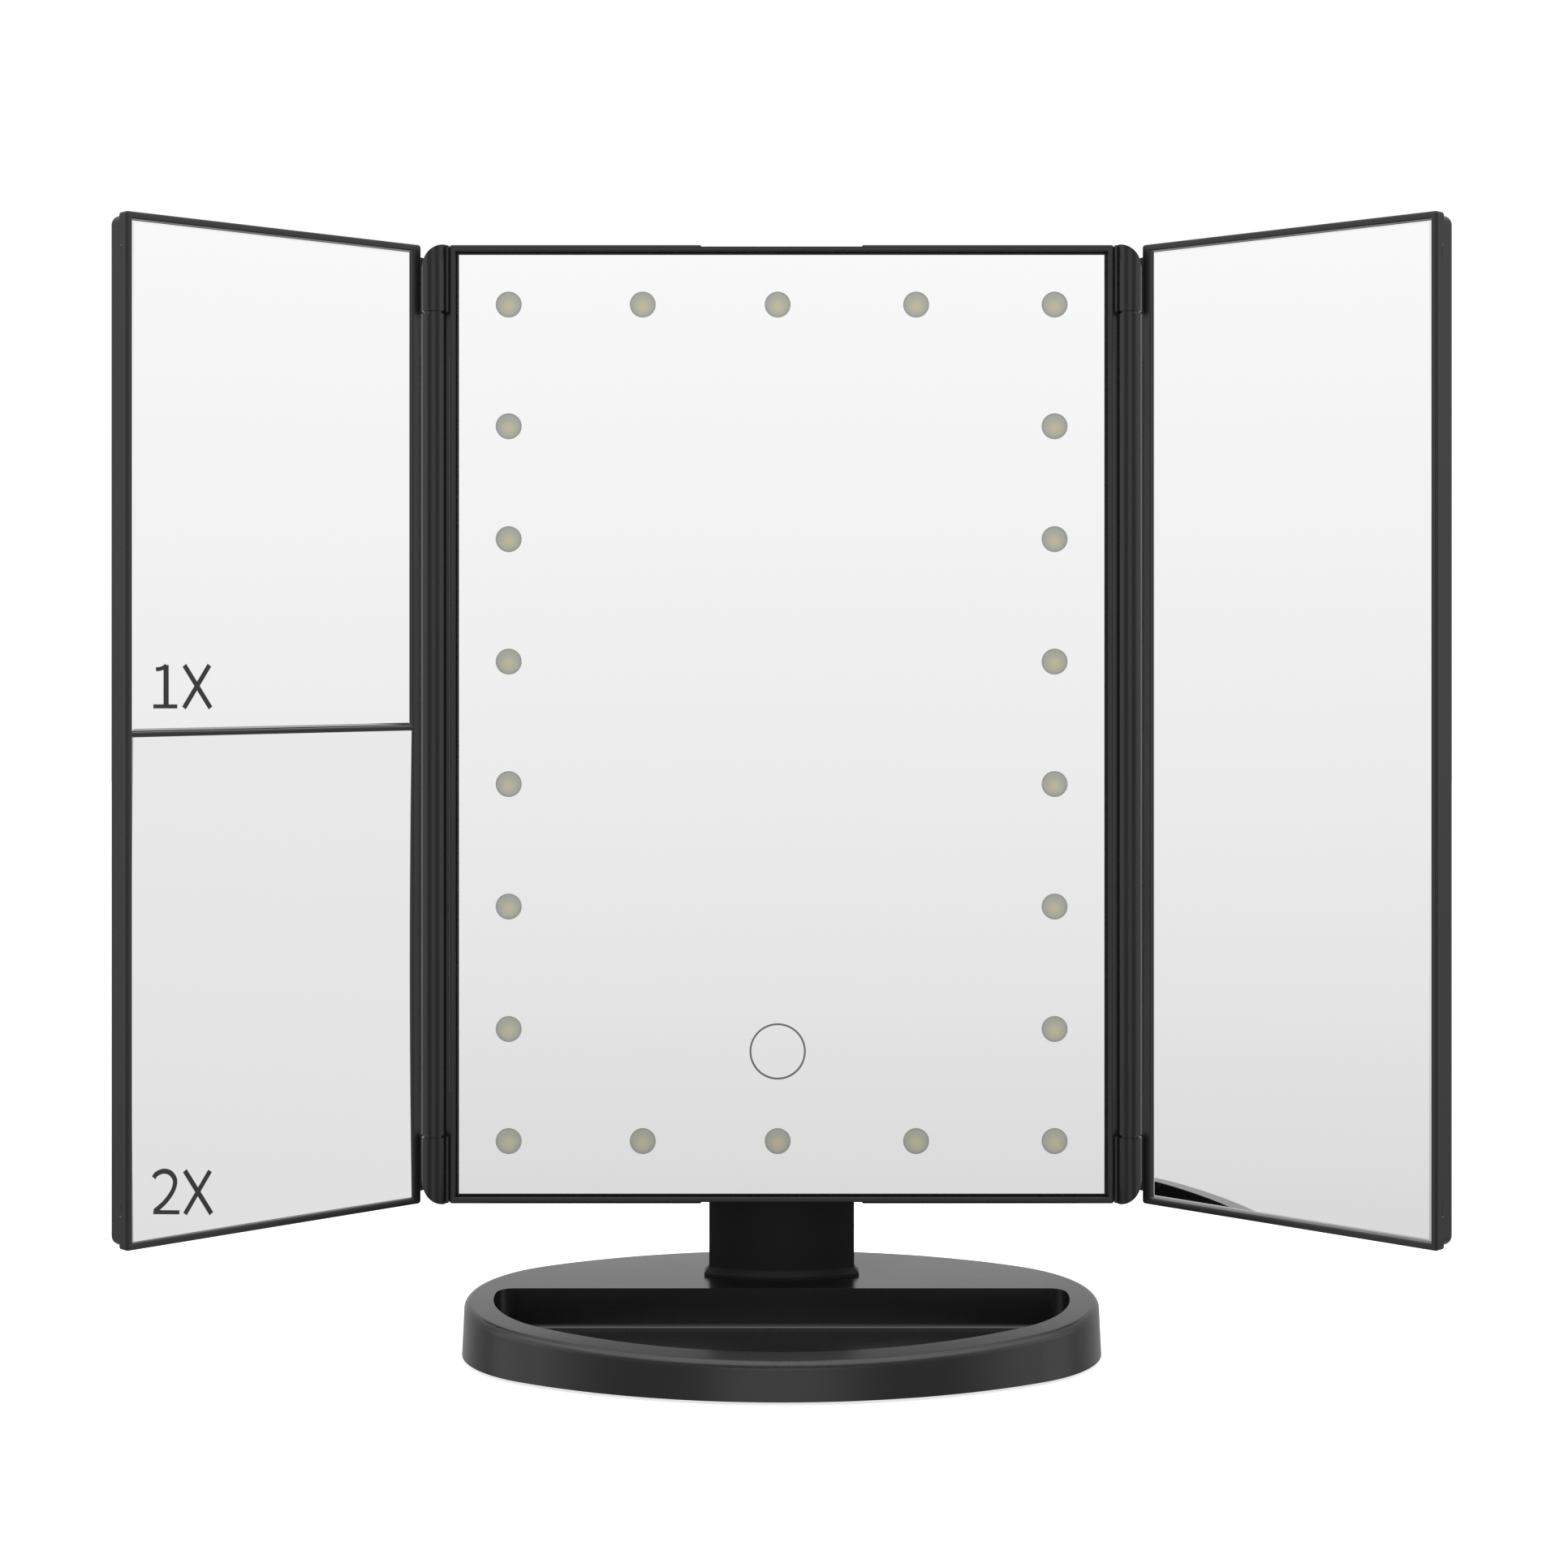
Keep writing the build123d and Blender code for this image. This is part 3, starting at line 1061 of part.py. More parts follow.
for end, height, lift in (("lower", BAY_BOTTOM, 1), ("upper", BAY_TOP, -1)):
    # plates join the cells in series, with a sprung cone at each flat cell end
    first = 0 if end == "lower" else 1
    with BuildPart() as contacts:
        with BuildSketch(Plane.XY.offset(height)):
            for number in range(CELL_COUNT):
                with Locations(((number - (CELL_COUNT - 1) / 2) * CELL_PITCH, CELL_Y)):
                    Rectangle(2 * CELL_R - 2 * CELL_CLEAR, 2 * CELL_R)
            for number in range(first, CELL_COUNT - 1, 2):
                with Locations(((number - CELL_COUNT / 2 + 1) * CELL_PITCH, CELL_Y)):
                    Rectangle(CELL_PITCH, CELL_R)
        extrude(amount=lift * CONTACT_PLATE_T)
        with BuildSketch(Plane.XY.offset(height + lift * CONTACT_PLATE_T)):
            for number in range(first, CELL_COUNT, 2):
                with Locations(((number - (CELL_COUNT - 1) / 2) * CELL_PITCH, CELL_Y)):
                    Circle(CONTACT_BUMP_R)
        extrude(amount=lift * CONTACT_BUMP_H, taper=CONTACT_TAPER)
    contacts.part.label = f"{end}_battery_contacts"
    export_step(contacts.part, f"parts/{end}_battery_contacts.step")

with BuildPart() as battery_door:
    with BuildSketch(Plane.XY.offset(BAY_BOTTOM + DOOR_GAP)):
        add(door_section(0))
    extrude(amount=BATTERY_TOP - BAY_BOTTOM - DOOR_GAP)
    with BuildSketch(panel_plane(DOOR_BACK)):
        with Locations((0, BATTERY_TOP - GRIP_FROM_TOP)):
            with GridLocations(1, GRIP_PITCH, 1, GRIP_COUNT, align=(Align.CENTER, Align.MAX)):
                Rectangle(GRIP_W, GRIP_H)
    extrude(amount=-GRIP_T)
battery_door.part.label = "battery_door"
export_step(battery_door.part, "parts/battery_door.step")

# ---------------------------------------------------------------- wings


def wing_panes(hand):
    """Pane openings of a wing as name, middle height and height: two on the left, one right."""
    if hand > 0:
        return [("right", PANEL_MID, OPENING_H)]
    upper = (OPENING_H - DIVIDER_W) / 2 + DIVIDER_DROP
    lower = OPENING_H - DIVIDER_W - upper
    return [
        ("left_upper", PANEL_MID + (OPENING_H - upper) / 2, upper),
        ("left_lower", PANEL_MID - (OPENING_H - lower) / 2, lower),
    ]


for hand, side in ((-1, "left"), (1, "right")):
    along, face = wing_axes(hand)
    face_axis = Axis((0, 0, 0), face)
    panes = wing_panes(hand)

    with BuildPart() as wing_frame:
        with BuildSketch(wing_plane(hand, 0)):
            with Locations((hand * WING_MID, PANEL_MID)):
                RectangleRounded(WING_W, PANEL_H, FRAME_CORNER)
        extrude(amount=-WING_FRAME_DEPTH)
        fillet(wing_frame.edges().group_by(face_axis)[-1], RIM_ROUND)
        with BuildSketch(wing_plane(hand, 0)):
            for _, middle, height in panes:
                with Locations((hand * WING_OPENING_MID, middle)):
                    Rectangle(WING_OPENING_W, height)
        extrude(amount=-WING_GLASS_BACK, mode=Mode.SUBTRACT)
        fillet(wing_frame.edges(Select.LAST).group_by(face_axis)[-1], RIM_INNER_ROUND)
        with BuildSketch(wing_plane(hand, WING_GLASS_BACK)):
            for _, middle, height in panes:
                with Locations((hand * WING_OPENING_MID, middle)):
                    Rectangle(WING_OPENING_W - 2 * LEDGE_W, height - 2 * LEDGE_W)
        extrude(amount=-WING_FRAME_DEPTH, mode=Mode.SUBTRACT)
        # small snap slots at the parting line, near both ends of the outer side
        with BuildSketch(wing_plane(hand, WING_FRAME_DEPTH)):
            with Locations(*[(hand * WING_OUTER, z) for z in SNAP_SLOT_Z]):
                Rectangle(2 * SNAP_SLOT_DEPTH, SNAP_SLOT_L)
        extrude(amount=SNAP_SLOT_W, mode=Mode.SUBTRACT)
    wing_frame.part.label = f"{side}_wing_frame"
    export_step(wing_frame.part, f"parts/{side}_wing_frame.step")

    with BuildPart() as wing_shell:
        with BuildSketch(wing_plane(hand, WING_FRAME_DEPTH)):
            with Locations((hand * WING_MID, PANEL_MID)):
                RectangleRounded(WING_W - 2 * STEP_IN, HOUSING_H, WING_CORNER)
        extrude(amount=-(WING_T - WING_FRAME_DEPTH))
        fillet(wing_shell.edges().group_by(face_axis)[0], WING_ROUND)
        with BuildSketch(wing_plane(hand, WING_FRAME_DEPTH)):
            with Locations((hand * WING_MID, PANEL_MID)):
                RectangleRounded(WING_INSIDE_W, WING_INSIDE_H, WING_CORNER - WING_WALL)
        extrude(amount=-(WING_T - WING_WALL - WING_FRAME_DEPTH), mode=Mode.SUBTRACT)
        with BuildSketch(wing_plane(hand, WING_RIB_FRONT)):
            with Locations((hand * WING_MID, PANEL_MID)):
                with GridLocations(WING_INSIDE_W / (RIB_COLUMNS + 1), 1, RIB_COLUMNS, 1):
                    Rectangle(RIB_T, WING_INSIDE_H)
                with GridLocations(1, WING_INSIDE_H / (RIB_ROWS + 1), 1, RIB_ROWS):
                    Rectangle(WING_INSIDE_W, RIB_T)
        extrude(amount=-RIB_HEIGHT)
        # hinge barrel on a web that leaves the shell's inner side
        with BuildSketch(wing_plan(hand, BARREL_BOTTOM)):
            Circle(BARREL_R)
            with BuildLine():
                Polyline(
                    (hand * WEB_LEFT_X, WEB_LEFT_Y),
                    (hand * LIP_X, WEB_ELBOW_Y),
                    (hand * LIP_X, WING_SETBACK + WING_FRAME_DEPTH),
                    (hand * WEB_ROOT_X, WING_SETBACK + WING_FRAME_DEPTH),
                    (hand * WEB_ROOT_X, WING_SETBACK + WING_FRAME_DEPTH + WEB_ROOT_DEPTH),
                    (0, BARREL_R),
                    close=True,
                )
            make_face()
        extrude(amount=BARREL_TOP - BARREL_BOTTOM)
        # a lip beside the caps, so that no light shows between them and the wing
        with BuildSketch(wing_plan(hand, PANEL_BOTTOM + LIP_INSET)):
            with BuildLine():
                Polyline(
                    (hand * LIP_X, sqrt(LIP_R**2 - LIP_X**2)),
                    (hand * LIP_R * cos(LIP_ANGLE), LIP_R * sin(LIP_ANGLE)),
                    (hand * (LIP_R + LIP_T) * cos(LIP_ANGLE), (LIP_R + LIP_T) * sin(LIP_ANGLE)),
                    (hand * WEB_ROOT_X, WING_SETBACK + WING_FRAME_DEPTH + WEB_ROOT_DEPTH),
                    (hand * WEB_ROOT_X, WING_SETBACK + WING_FRAME_DEPTH),
                    (hand * LIP_X, WING_SETBACK + WING_FRAME_DEPTH),
                    close=True,
                )
            make_face()
        extrude(amount=PANEL_H - 2 * LIP_INSET)
        with BuildSketch(wing_plan(hand, BARREL_BOTTOM)):
            Circle(HINGE_PIN_R + SHAFT_CLEAR)
        extrude(amount=PIN_DEPTH + PIN_END_GAP, mode=Mode.SUBTRACT)
        with BuildSketch(wing_plan(hand, BARREL_TOP)):
            Circle(HINGE_PIN_R + SHAFT_CLEAR)
        extrude(amount=-(PIN_DEPTH + PIN_END_GAP), mode=Mode.SUBTRACT)
    wing_shell.part.label = f"{side}_wing_shell"
    export_step(wing_shell.part, f"parts/{side}_wing_shell.step")

    for pane_name, middle, height in panes:
        glass_h = height - 2 * GLASS_GAP
        concave = pane_name == "left_lower"
        # centre of the magnifying pane's curvature, in front of the pane's middle
        bowl = wing_plane(hand, MAGNIFIER_FRONT - MAGNIFIER_RADIUS)
        bowl_centre = bowl.from_local_coords((hand * WING_OPENING_MID, middle, 0))
        bowl_plane = Plane(origin=bowl_centre, x_dir=face, z_dir=(0, 0, 1))
        with BuildPart() as pane:
            with BuildSketch(wing_plane(hand, 0 if concave else GLASS_SETBACK)):
                with Locations((hand * WING_OPENING_MID, middle)):
                    Rectangle(WING_GLASS_W, glass_h)
            extrude(amount=-(WING_T if concave else WING_GLASS_T))
            if concave:
                with Locations(bowl_plane.location):
                    Sphere(MAGNIFIER_RADIUS + MAGNIFIER_T, mode=Mode.INTERSECT)
                    Sphere(MAGNIFIER_RADIUS, mode=Mode.SUBTRACT)
            else:
                chamfer(pane.edges().group_by(face_axis)[-1], GLASS_BEVEL)
        pane.part.label = f"{pane_name}_mirror"
        export_step(pane.part, f"parts/{pane_name}_mirror.step")

        pad_front = MAGNIFIER_FRONT if concave else WING_GLASS_BACK
        with BuildPart() as pad:
            with BuildSketch(wing_plane(hand, pad_front)):
                with Locations((hand * WING_OPENING_MID, middle)):
                    Rectangle(
                        WING_OPENING_W - 2 * (LEDGE_W + GLASS_GAP), height - 2 * (LEDGE_W + GLASS_GAP)
                    )
            extrude(amount=-(WING_RIB_FRONT - pad_front))
            if concave:
                with Locations(bowl_plane.location):
                    Sphere(MAGNIFIER_RADIUS + MAGNIFIER_T, mode=Mode.SUBTRACT)
        pad.part.label = f"{pane_name}_pad"
        export_step(pad.part, f"parts/{pane_name}_pad.step")
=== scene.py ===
"""Looks of a trifold vanity mirror on an oval tray base.

Lengths are written in millimetres and divided by 1000 where they enter the scene. X runs to the
right, Y away from the person and Z up, with the origin under the middle of the base. `across` is
the signed distance of a point on a wing from its hinge line, and `depth` lies behind a face.
"""

import math

import bmesh
import bpy
import numpy as np
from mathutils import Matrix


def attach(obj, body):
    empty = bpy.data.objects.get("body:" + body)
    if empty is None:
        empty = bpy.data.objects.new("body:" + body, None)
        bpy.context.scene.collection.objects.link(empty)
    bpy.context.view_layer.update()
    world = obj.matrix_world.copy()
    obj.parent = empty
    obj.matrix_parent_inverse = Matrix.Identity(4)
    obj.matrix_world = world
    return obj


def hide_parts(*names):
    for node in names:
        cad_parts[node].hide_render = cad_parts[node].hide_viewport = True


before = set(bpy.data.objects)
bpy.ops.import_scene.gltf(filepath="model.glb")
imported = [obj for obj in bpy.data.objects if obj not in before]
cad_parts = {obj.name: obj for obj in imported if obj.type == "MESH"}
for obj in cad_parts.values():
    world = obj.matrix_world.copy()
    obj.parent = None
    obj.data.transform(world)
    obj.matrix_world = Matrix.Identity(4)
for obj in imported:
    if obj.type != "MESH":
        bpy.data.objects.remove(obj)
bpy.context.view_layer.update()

MM = 0.001

# centre panel
PANEL_FRONT = 8.0
PANEL_BOTTOM = 35.4
PANEL_H = 239.5
PANEL_W = 166.2
GLASS_SETBACK = 0.6
ETCH_DEPTH = 0.15
LED_INSET = 14.9             # outer windows from the panel's sides and top
LED_BOTTOM_INSET = 15.6
LED_COLUMN_STEPS = (33.5, 33.7, 34.6, 34.6)  # relative steps, left to right
LED_ROW_STEPS = (28.0, 30.6, 30.6, 30.6, 30.6, 28.2, 30.4)  # relative steps, upwards
LED_WINDOW_R = 3.25
TOUCH_RISE = 38.0            # touch key above the panel's bottom
TOUCH_R = 6.8
TOUCH_LINE = 0.5
PRINT_SIDE_GAP = 0.01        # paint stops this far from the wall of its recess
PRINT_SINK = 0.03            # paint in a recess stays this far below the glass face
PRINT_CORNER = 0.02          # depth of the paint's edge below its face

# left wing
HINGE_X = 86.9
HINGE_Y = 9.0
OPEN_ANGLE = 43.5
WING_SETBACK = 1.74
WING_OUTER = 86.3
WING_OPENING_W = 79.4
FRAME_RIM = 1.7
GLASS_GAP = 0.3
DIVIDER_W = 0.9
DIVIDER_DROP = 0.8           # its middle below the wing's middle
LEDGE_W = 3.5
WING_GLASS_BACK = 2.2
MAGNIFIER_RADIUS = 2200.0
MAGNIFIER_T = 1.2
MARK_T = 0.02                # thickness of the printed marks
MARK_STEP = 0.002            # each stroke is this much thicker than the last
MARK_THICK_STROKE = 1.4
MARK_THIN_STROKE = 0.95
MARK_SLANT_STROKE = 1.2

# points round a window and round the touch ring, and along a pane's sides
WINDOW_SIDES = 48
RING_SIDES = 128
PANE_COLUMNS = 61
PANE_ROWS = 91

# camera, floor and lights
CAMERA_PLACE = (0.0, -714.0, 174.7)
CAMERA_LENS = 66.4
CAMERA_SENSOR = 36.0
CAMERA_SHIFT = (0.0015, -0.088)
FLOOR_HALF = 3000.0
FLOOR_GLOW = 0.75            # light that only the camera sees
ROOF_STRENGTH = 1.6

# derived
PANEL_TOP = PANEL_BOTTOM + PANEL_H
PRINT_FRONT = GLASS_SETBACK + PRINT_SINK
PRINT_BACK = GLASS_SETBACK + ETCH_DEPTH
PANE_MID = WING_OPENING_W / 2 + FRAME_RIM - WING_OUTER
PANE_OPENING_H = (PANEL_H - 2 * FRAME_RIM - DIVIDER_W) / 2 - DIVIDER_DROP
LOWER_PANE_MID = PANEL_BOTTOM + FRAME_RIM + PANE_OPENING_H / 2
MAGNIFIER_FRONT = (
    WING_GLASS_BACK
    + MAGNIFIER_RADIUS
    - math.sqrt((MAGNIFIER_RADIUS + MAGNIFIER_T) ** 2 - (WING_OPENING_W / 2 - LEDGE_W) ** 2)
)


# ---------------------------------------------------------------- small tools


def linear(colour):
    """Linear red, green, blue and alpha of an sRGB hex colour."""
    parts = np.array([int(colour[i : i + 2], 16) for i in (1, 3, 5)]) / 255
    light = np.where(parts <= 0.04045, parts / 12.92, ((parts + 0.055) / 1.055) ** 2.4)
    return (*light.tolist(), 1.0)


def add(tree, kind, inputs=None, **settings):
    """A node of that kind in the tree, with its settings, and its inputs filled or linked."""
    node = tree.nodes.new("ShaderNode" + kind)
    for name, value in settings.items():
        setattr(node, name, value)
    for socket, value in (inputs or {}).items():
        if isinstance(value, bpy.types.NodeSocket):
            tree.links.new(value, node.inputs[socket])
        else:
            node.inputs[socket].default_value = value
    return node


def blank_material(name):
    """An empty node material and its tree."""
    made = bpy.data.materials.new(name)
    made.use_nodes = True
    made.node_tree.nodes.clear()
    return made, made.node_tree


def noise(tree, size_mm, detail=2.0, vector=None):
    """Noise between 0 and 1 whose blotches are about size_mm wide on the object."""
    place = vector or add(tree, "TexCoord").outputs["Object"]
    return add(
        tree, "TexNoise", {"Vector": place, "Scale": 1 / (size_mm * MM), "Detail": detail}
    ).outputs["Fac"]


def spread(tree, value, low, high, start=0.3, end=0.7):
    """The value's range from start to end, carried over to low to high."""
    return add(
        tree, "MapRange", {"Value": value, 1: start, 2: end, 3: low, 4: high}
    ).outputs["Result"]


def blend_colours(tree, share, first, second):
    """The first colour where share is 0 and the second where it is 1."""
    mixed = add(tree, "Mix", {0: share, 6: first, 7: second}, data_type="RGBA")
    return mixed.outputs[2]


def relief(tree, height, depth_mm, strength):
    """Normals of a fine relief, depth_mm from its valleys to its tops."""
    return add(
        tree, "Bump", {"Height": height, "Distance": depth_mm * MM, "Strength": strength}
    ).outputs["Normal"]


def finished(made, tree, shader):
    """The material, with its shader linked to the output."""
    add(tree, "OutputMaterial", {"Surface": shader.outputs[0]})
    return made


# ---------------------------------------------------------------- materials


def moulded_black_abs(name, shades, smooth, rough, shine):
    """ABS, moulded in a finely spark-eroded tool: near black, with an even soft grain.

    Its shade and gloss wander slowly between two values, as the melt's flow leaves them. The
    real grain is about 0.1 mm, drawn 0.6 mm wide so that it shows. The shine, usually 0.5, is
    higher on a closer grain and lower on a coarse one, which traps more of the light; on the base
    and the neck it is also set to go with their darker colours, which are painted shade.
    """
    made, tree = blank_material(name)
    grain = noise(tree, 0.6, detail=3.0)
    flow = noise(tree, 45.0)
    colour = blend_colours(tree, flow, linear(shades[0]), linear(shades[1]))
    shader = add(
        tree,
        "BsdfPrincipled",
        {
            "Base Color": colour,
            "Roughness": spread(tree, flow, smooth, rough),
            "IOR": 1.54,
            "Specular IOR Level": shine,
            "Normal": relief(tree, grain, 0.02, 0.35),
        },
    )
    return finished(made, tree, shader)


def silvered_float_glass():
    """Float glass, polished and silvered behind: a clear neutral reflection, evenly bright."""
    made, tree = blank_material("silvered_float_glass")
    cloud = noise(tree, 120.0)
    colour = blend_colours(tree, cloud, linear("#fbfcfb"), linear("#fdfdfd"))
    shader = add(
        tree,
        "BsdfPrincipled",
        {"Base Color": colour, "Metallic": 1.0, "Roughness": spread(tree, cloud, 0.008, 0.016)},
    )
    return finished(made, tree, shader)


def etched_window():
    """Glass etched matt where the silver is left out: grey-green, with the unlit lamp behind it.

    The attribute `spot` gives each point's place in its window, as shares of its radius.
    """
    made, tree = blank_material("etched_window")
    spot = add(tree, "Attribute", attribute_name="spot").outputs["Vector"]
    reach = add(tree, "VectorMath", {0: spot}, operation="LENGTH").outputs["Value"]
    lamp = add(
        tree, "VectorMath", {0: spot, 1: (0.0, -0.12, 0.0)}, operation="DISTANCE"
    ).outputs["Value"]
    warm = add(
        tree,
        "MapRange",
        {"Value": lamp, 1: 0.05, 2: 0.85, 3: 1.0, 4: 0.0},
        interpolation_type="SMOOTHSTEP",
    ).outputs["Result"]
    rim = add(
        tree,
        "MapRange",
        {"Value": reach, 1: 0.72, 2: 1.0, 3: 0.0, 4: 1.0},
        interpolation_type="SMOOTHSTEP",
    ).outputs["Result"]
    field = blend_colours(tree, warm, linear("#c5c8bd"), linear("#e0dab7"))
    colour = blend_colours(tree, rim, field, linear("#b4b7ab"))
    frost = noise(tree, 0.25, detail=1.0)
    shader = add(
        tree,
        "BsdfPrincipled",
        {
            "Base Color": colour,
            "Roughness": 0.6,
            "IOR": 1.5,
            "Normal": relief(tree, frost, 0.01, 0.2),
        },
    )
    return finished(made, tree, shader)


def screen_print(name, colour):
    """Enamel ink, screen printed: matt and even, with slightly uneven cover."""
    made, tree = blank_material(name)
    cover = spread(tree, noise(tree, 0.5), 0.0, 0.06, 0.0, 1.0)
    ink = blend_colours(tree, cover, linear(colour), linear("#909090"))
    shader = add(tree, "BsdfPrincipled", {"Base Color": ink, "Roughness": 0.55, "IOR": 1.5})
    return finished(made, tree, shader)


def moulded_rubber():
    """Natural rubber, compression moulded: dull black with a fine bloom."""
    made, tree = blank_material("moulded_rubber")
    bloom = noise(tree, 3.0, detail=4.0)
    colour = blend_colours(tree, bloom, linear("#19191a"), linear("#262627"))
    shader = add(
        tree,
        "BsdfPrincipled",
        {
            "Base Color": colour,
            "Roughness": spread(tree, bloom, 0.7, 0.85),
            "IOR": 1.52,
            "Normal": relief(tree, bloom, 0.03, 0.3),
        },
    )
    return finished(made, tree, shader)


def zinc_plated_steel():
    """Cold-formed steel, bright zinc plated: bluish silver with a faintly uneven sheen."""
    made, tree = blank_material("zinc_plated_steel")
    plating = noise(tree, 0.8, detail=3.0)
    colour = blend_colours(tree, plating, linear("#b4b8bd"), linear("#c9cccf"))
    shader = add(
        tree,
        "BsdfPrincipled",
        {"Base Color": colour, "Metallic": 1.0, "Roughness": spread(tree, plating, 0.22, 0.34)},
    )
    return finished(made, tree, shader)


def natural_nylon():
    """Nylon, moulded without dye: milky, waxy and a little see-through."""
    made, tree = blank_material("natural_nylon")
    milk = noise(tree, 4.0)
    colour = blend_colours(tree, milk, linear("#d6d2c6"), linear("#e2dfd5"))
    shader = add(
        tree,
        "BsdfPrincipled",
        {"Base Color": colour, "Roughness": 0.4, "IOR": 1.53, "Subsurface Weight": 0.2},
    )
    return finished(made, tree, shader)


def closed_cell_foam():
    """Polyethylene foam sheet, sliced: dark grey and dull, with the cells cut open."""
    made, tree = blank_material("closed_cell_foam")
    place = add(tree, "TexCoord").outputs["Object"]
    cells = add(tree, "TexVoronoi", {"Vector": place, "Scale": 1 / (0.9 * MM)}).outputs["Distance"]
    colour = blend_colours(tree, cells, linear("#303032"), linear("#48484a"))
    shader = add(
        tree,
        "BsdfPrincipled",
        {"Base Color": colour, "Roughness": 0.9, "Normal": relief(tree, cells, 0.15, 0.6)},
    )
    return finished(made, tree, shader)


def solder_masked_board():
    """Glass-fibre laminate under green solder mask: glossy, with the weave just showing."""
    made, tree = blank_material("solder_masked_board")
    place = add(tree, "TexCoord").outputs["Object"]
    weave = add(
        tree, "TexWave", {"Vector": place, "Scale": 1 / (6.0 * MM), "Distortion": 0.3}
    ).outputs["Fac"]
    colour = blend_colours(tree, weave, linear("#0f4a2a"), linear("#145633"))
    shader = add(tree, "BsdfPrincipled", {"Base Color": colour, "Roughness": 0.3, "IOR": 1.5})
    return finished(made, tree, shader)


def phosphor_lens():
    """Silicone with yellow phosphor, cast over the diode: warm yellow and slightly glossy."""
    made, tree = blank_material("phosphor_lens")
    grains = noise(tree, 0.3)
    colour = blend_colours(tree, grains, linear("#e6cf6a"), linear("#efdc86"))
    shader = add(tree, "BsdfPrincipled", {"Base Color": colour, "Roughness": 0.35, "IOR": 1.41})
    return finished(made, tree, shader)


def copper_foil():
    """Rolled copper foil, bare: reddish, brushed lightly along the roll."""
    made, tree = blank_material("copper_foil")
    rolled = noise(tree, 0.4)
    colour = blend_colours(tree, rolled, linear("#b8714a"), linear("#cb8358"))
    shader = add(
        tree,
        "BsdfPrincipled",
        {"Base Color": colour, "Metallic": 1.0, "Roughness": spread(tree, rolled, 0.3, 0.42)},
    )
    return finished(made, tree, shader)


def shrink_sleeve():
    """Polyester film shrunk round a steel can: smooth slate grey with a tight gloss."""
    made, tree = blank_material("shrink_sleeve")
    film = noise(tree, 9.0)
    colour = blend_colours(tree, film, linear("#3c4350"), linear("#454d5b"))
    shader = add(
        tree,
        "BsdfPrincipled",
        {"Base Color": colour, "Roughness": 0.28, "IOR": 1.57, "Coat Weight": 0.3},
    )
    return finished(made, tree, shader)


ABS = moulded_black_abs("satin_moulded_abs", ("#1a1a1c", "#202022"), 0.24, 0.3, 0.5)
# the base's ABS is drawn darker than the panel's: painted shade that darkens its tray; its higher
# shine keeps its lit top and front bright
SHADED_BASE_ABS = moulded_black_abs("base_abs_painted_shade", ("#111112", "#161617"), 0.24, 0.3, 0.75)
# the neck's matt ABS is drawn far darker than the panel's and with less shine: painted shade for
# the neck, which stands under the panel
SHADED_MATT_ABS = moulded_black_abs("matt_abs_painted_shade", ("#090909", "#0c0c0d"), 0.5, 0.58, 0.32)
MIRROR = silvered_float_glass()
RUBBER = moulded_rubber()
STEEL = zinc_plated_steel()

NODE_FINISHES = {
    ABS: (
        "battery_door center_bezel left_wing_frame left_wing_shell "
        "power_switch_body power_switch_slider rear_housing right_wing_frame right_wing_shell"
    ),
    SHADED_BASE_ABS: "base_bottom_plate base_shell",
    SHADED_MATT_ABS: "neck_rear_cover stand_neck",
    MIRROR: "center_mirror left_upper_mirror right_mirror",
    RUBBER: "rubber_feet touch_contact",
    STEEL: (
        "base_screws board_screws hinge_pins lower_battery_contacts neck_screws power_inlet "
        "stand_screws tilt_lock_nut tilt_shaft upper_battery_contacts"
    ),
    shrink_sleeve(): "battery_cell_1 battery_cell_2 battery_cell_3 battery_cell_4",
    solder_masked_board(): "control_board led_board",
    natural_nylon(): "friction_washers",
    phosphor_lens(): "led_chips",
    closed_cell_foam(): "left_lower_pad left_upper_pad mirror_foam_pad right_pad",
    copper_foil(): "touch_electrode",
}

for finish, names in NODE_FINISHES.items():
    for name in names.split():
        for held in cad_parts[name].material_slots:
            held.material = finish


# ---------------------------------------------------------------- surfaces


def surface(name, points, material, wrap_rows=False):
    """A closed mesh over grids of points in mm, shaped (grids, rows, columns, 3).

    Face i, j of a grid joins rows i, i + 1 and columns j, j + 1. Columns run round and meet;
    rows meet too where wrap_rows is set. Points that coincide are merged, which closes seams
    and poles, and the faces are turned outwards.
    """
    grids, rows, columns, _ = points.shape
    index = np.arange(grids * rows * columns).reshape(grids, rows, columns)
    below = index if wrap_rows else index[:, :-1]
    above = np.roll(index, -1, axis=1) if wrap_rows else index[:, 1:]
    quads = np.stack([below, np.roll(below, -1, 2), np.roll(above, -1, 2), above], axis=-1)
    mesh = bpy.data.meshes.new(name)
    mesh.from_pydata(points.reshape(-1, 3) * MM, [], quads.reshape(-1, 4).tolist())
    built = bmesh.new()
    built.from_mesh(mesh)
    bmesh.ops.remove_doubles(built, verts=built.verts, dist=1e-7)
    bmesh.ops.dissolve_degenerate(built, edges=built.edges, dist=1e-8)
    bmesh.ops.recalc_face_normals(built, faces=built.faces)
    built.to_mesh(mesh)
    built.free()
    mesh.shade_smooth()
    mesh.set_sharp_from_angle(angle=math.radians(35))
    mesh.materials.append(material)
    made = bpy.data.objects.new(name, mesh)
    bpy.context.scene.collection.objects.link(made)
    return made


def vertex_places(piece):
    """The piece's vertices in mm, as one array."""
    flat = np.empty(3 * len(piece.data.vertices))
    piece.data.vertices.foreach_get("co", flat)
    return flat.reshape(-1, 3) / MM


def stepped(start, end, steps):
    """Places from start to end whose gaps are in proportion to the steps."""
    return start + (end - start) * np.concatenate([[0], np.cumsum(steps)]) / sum(steps)


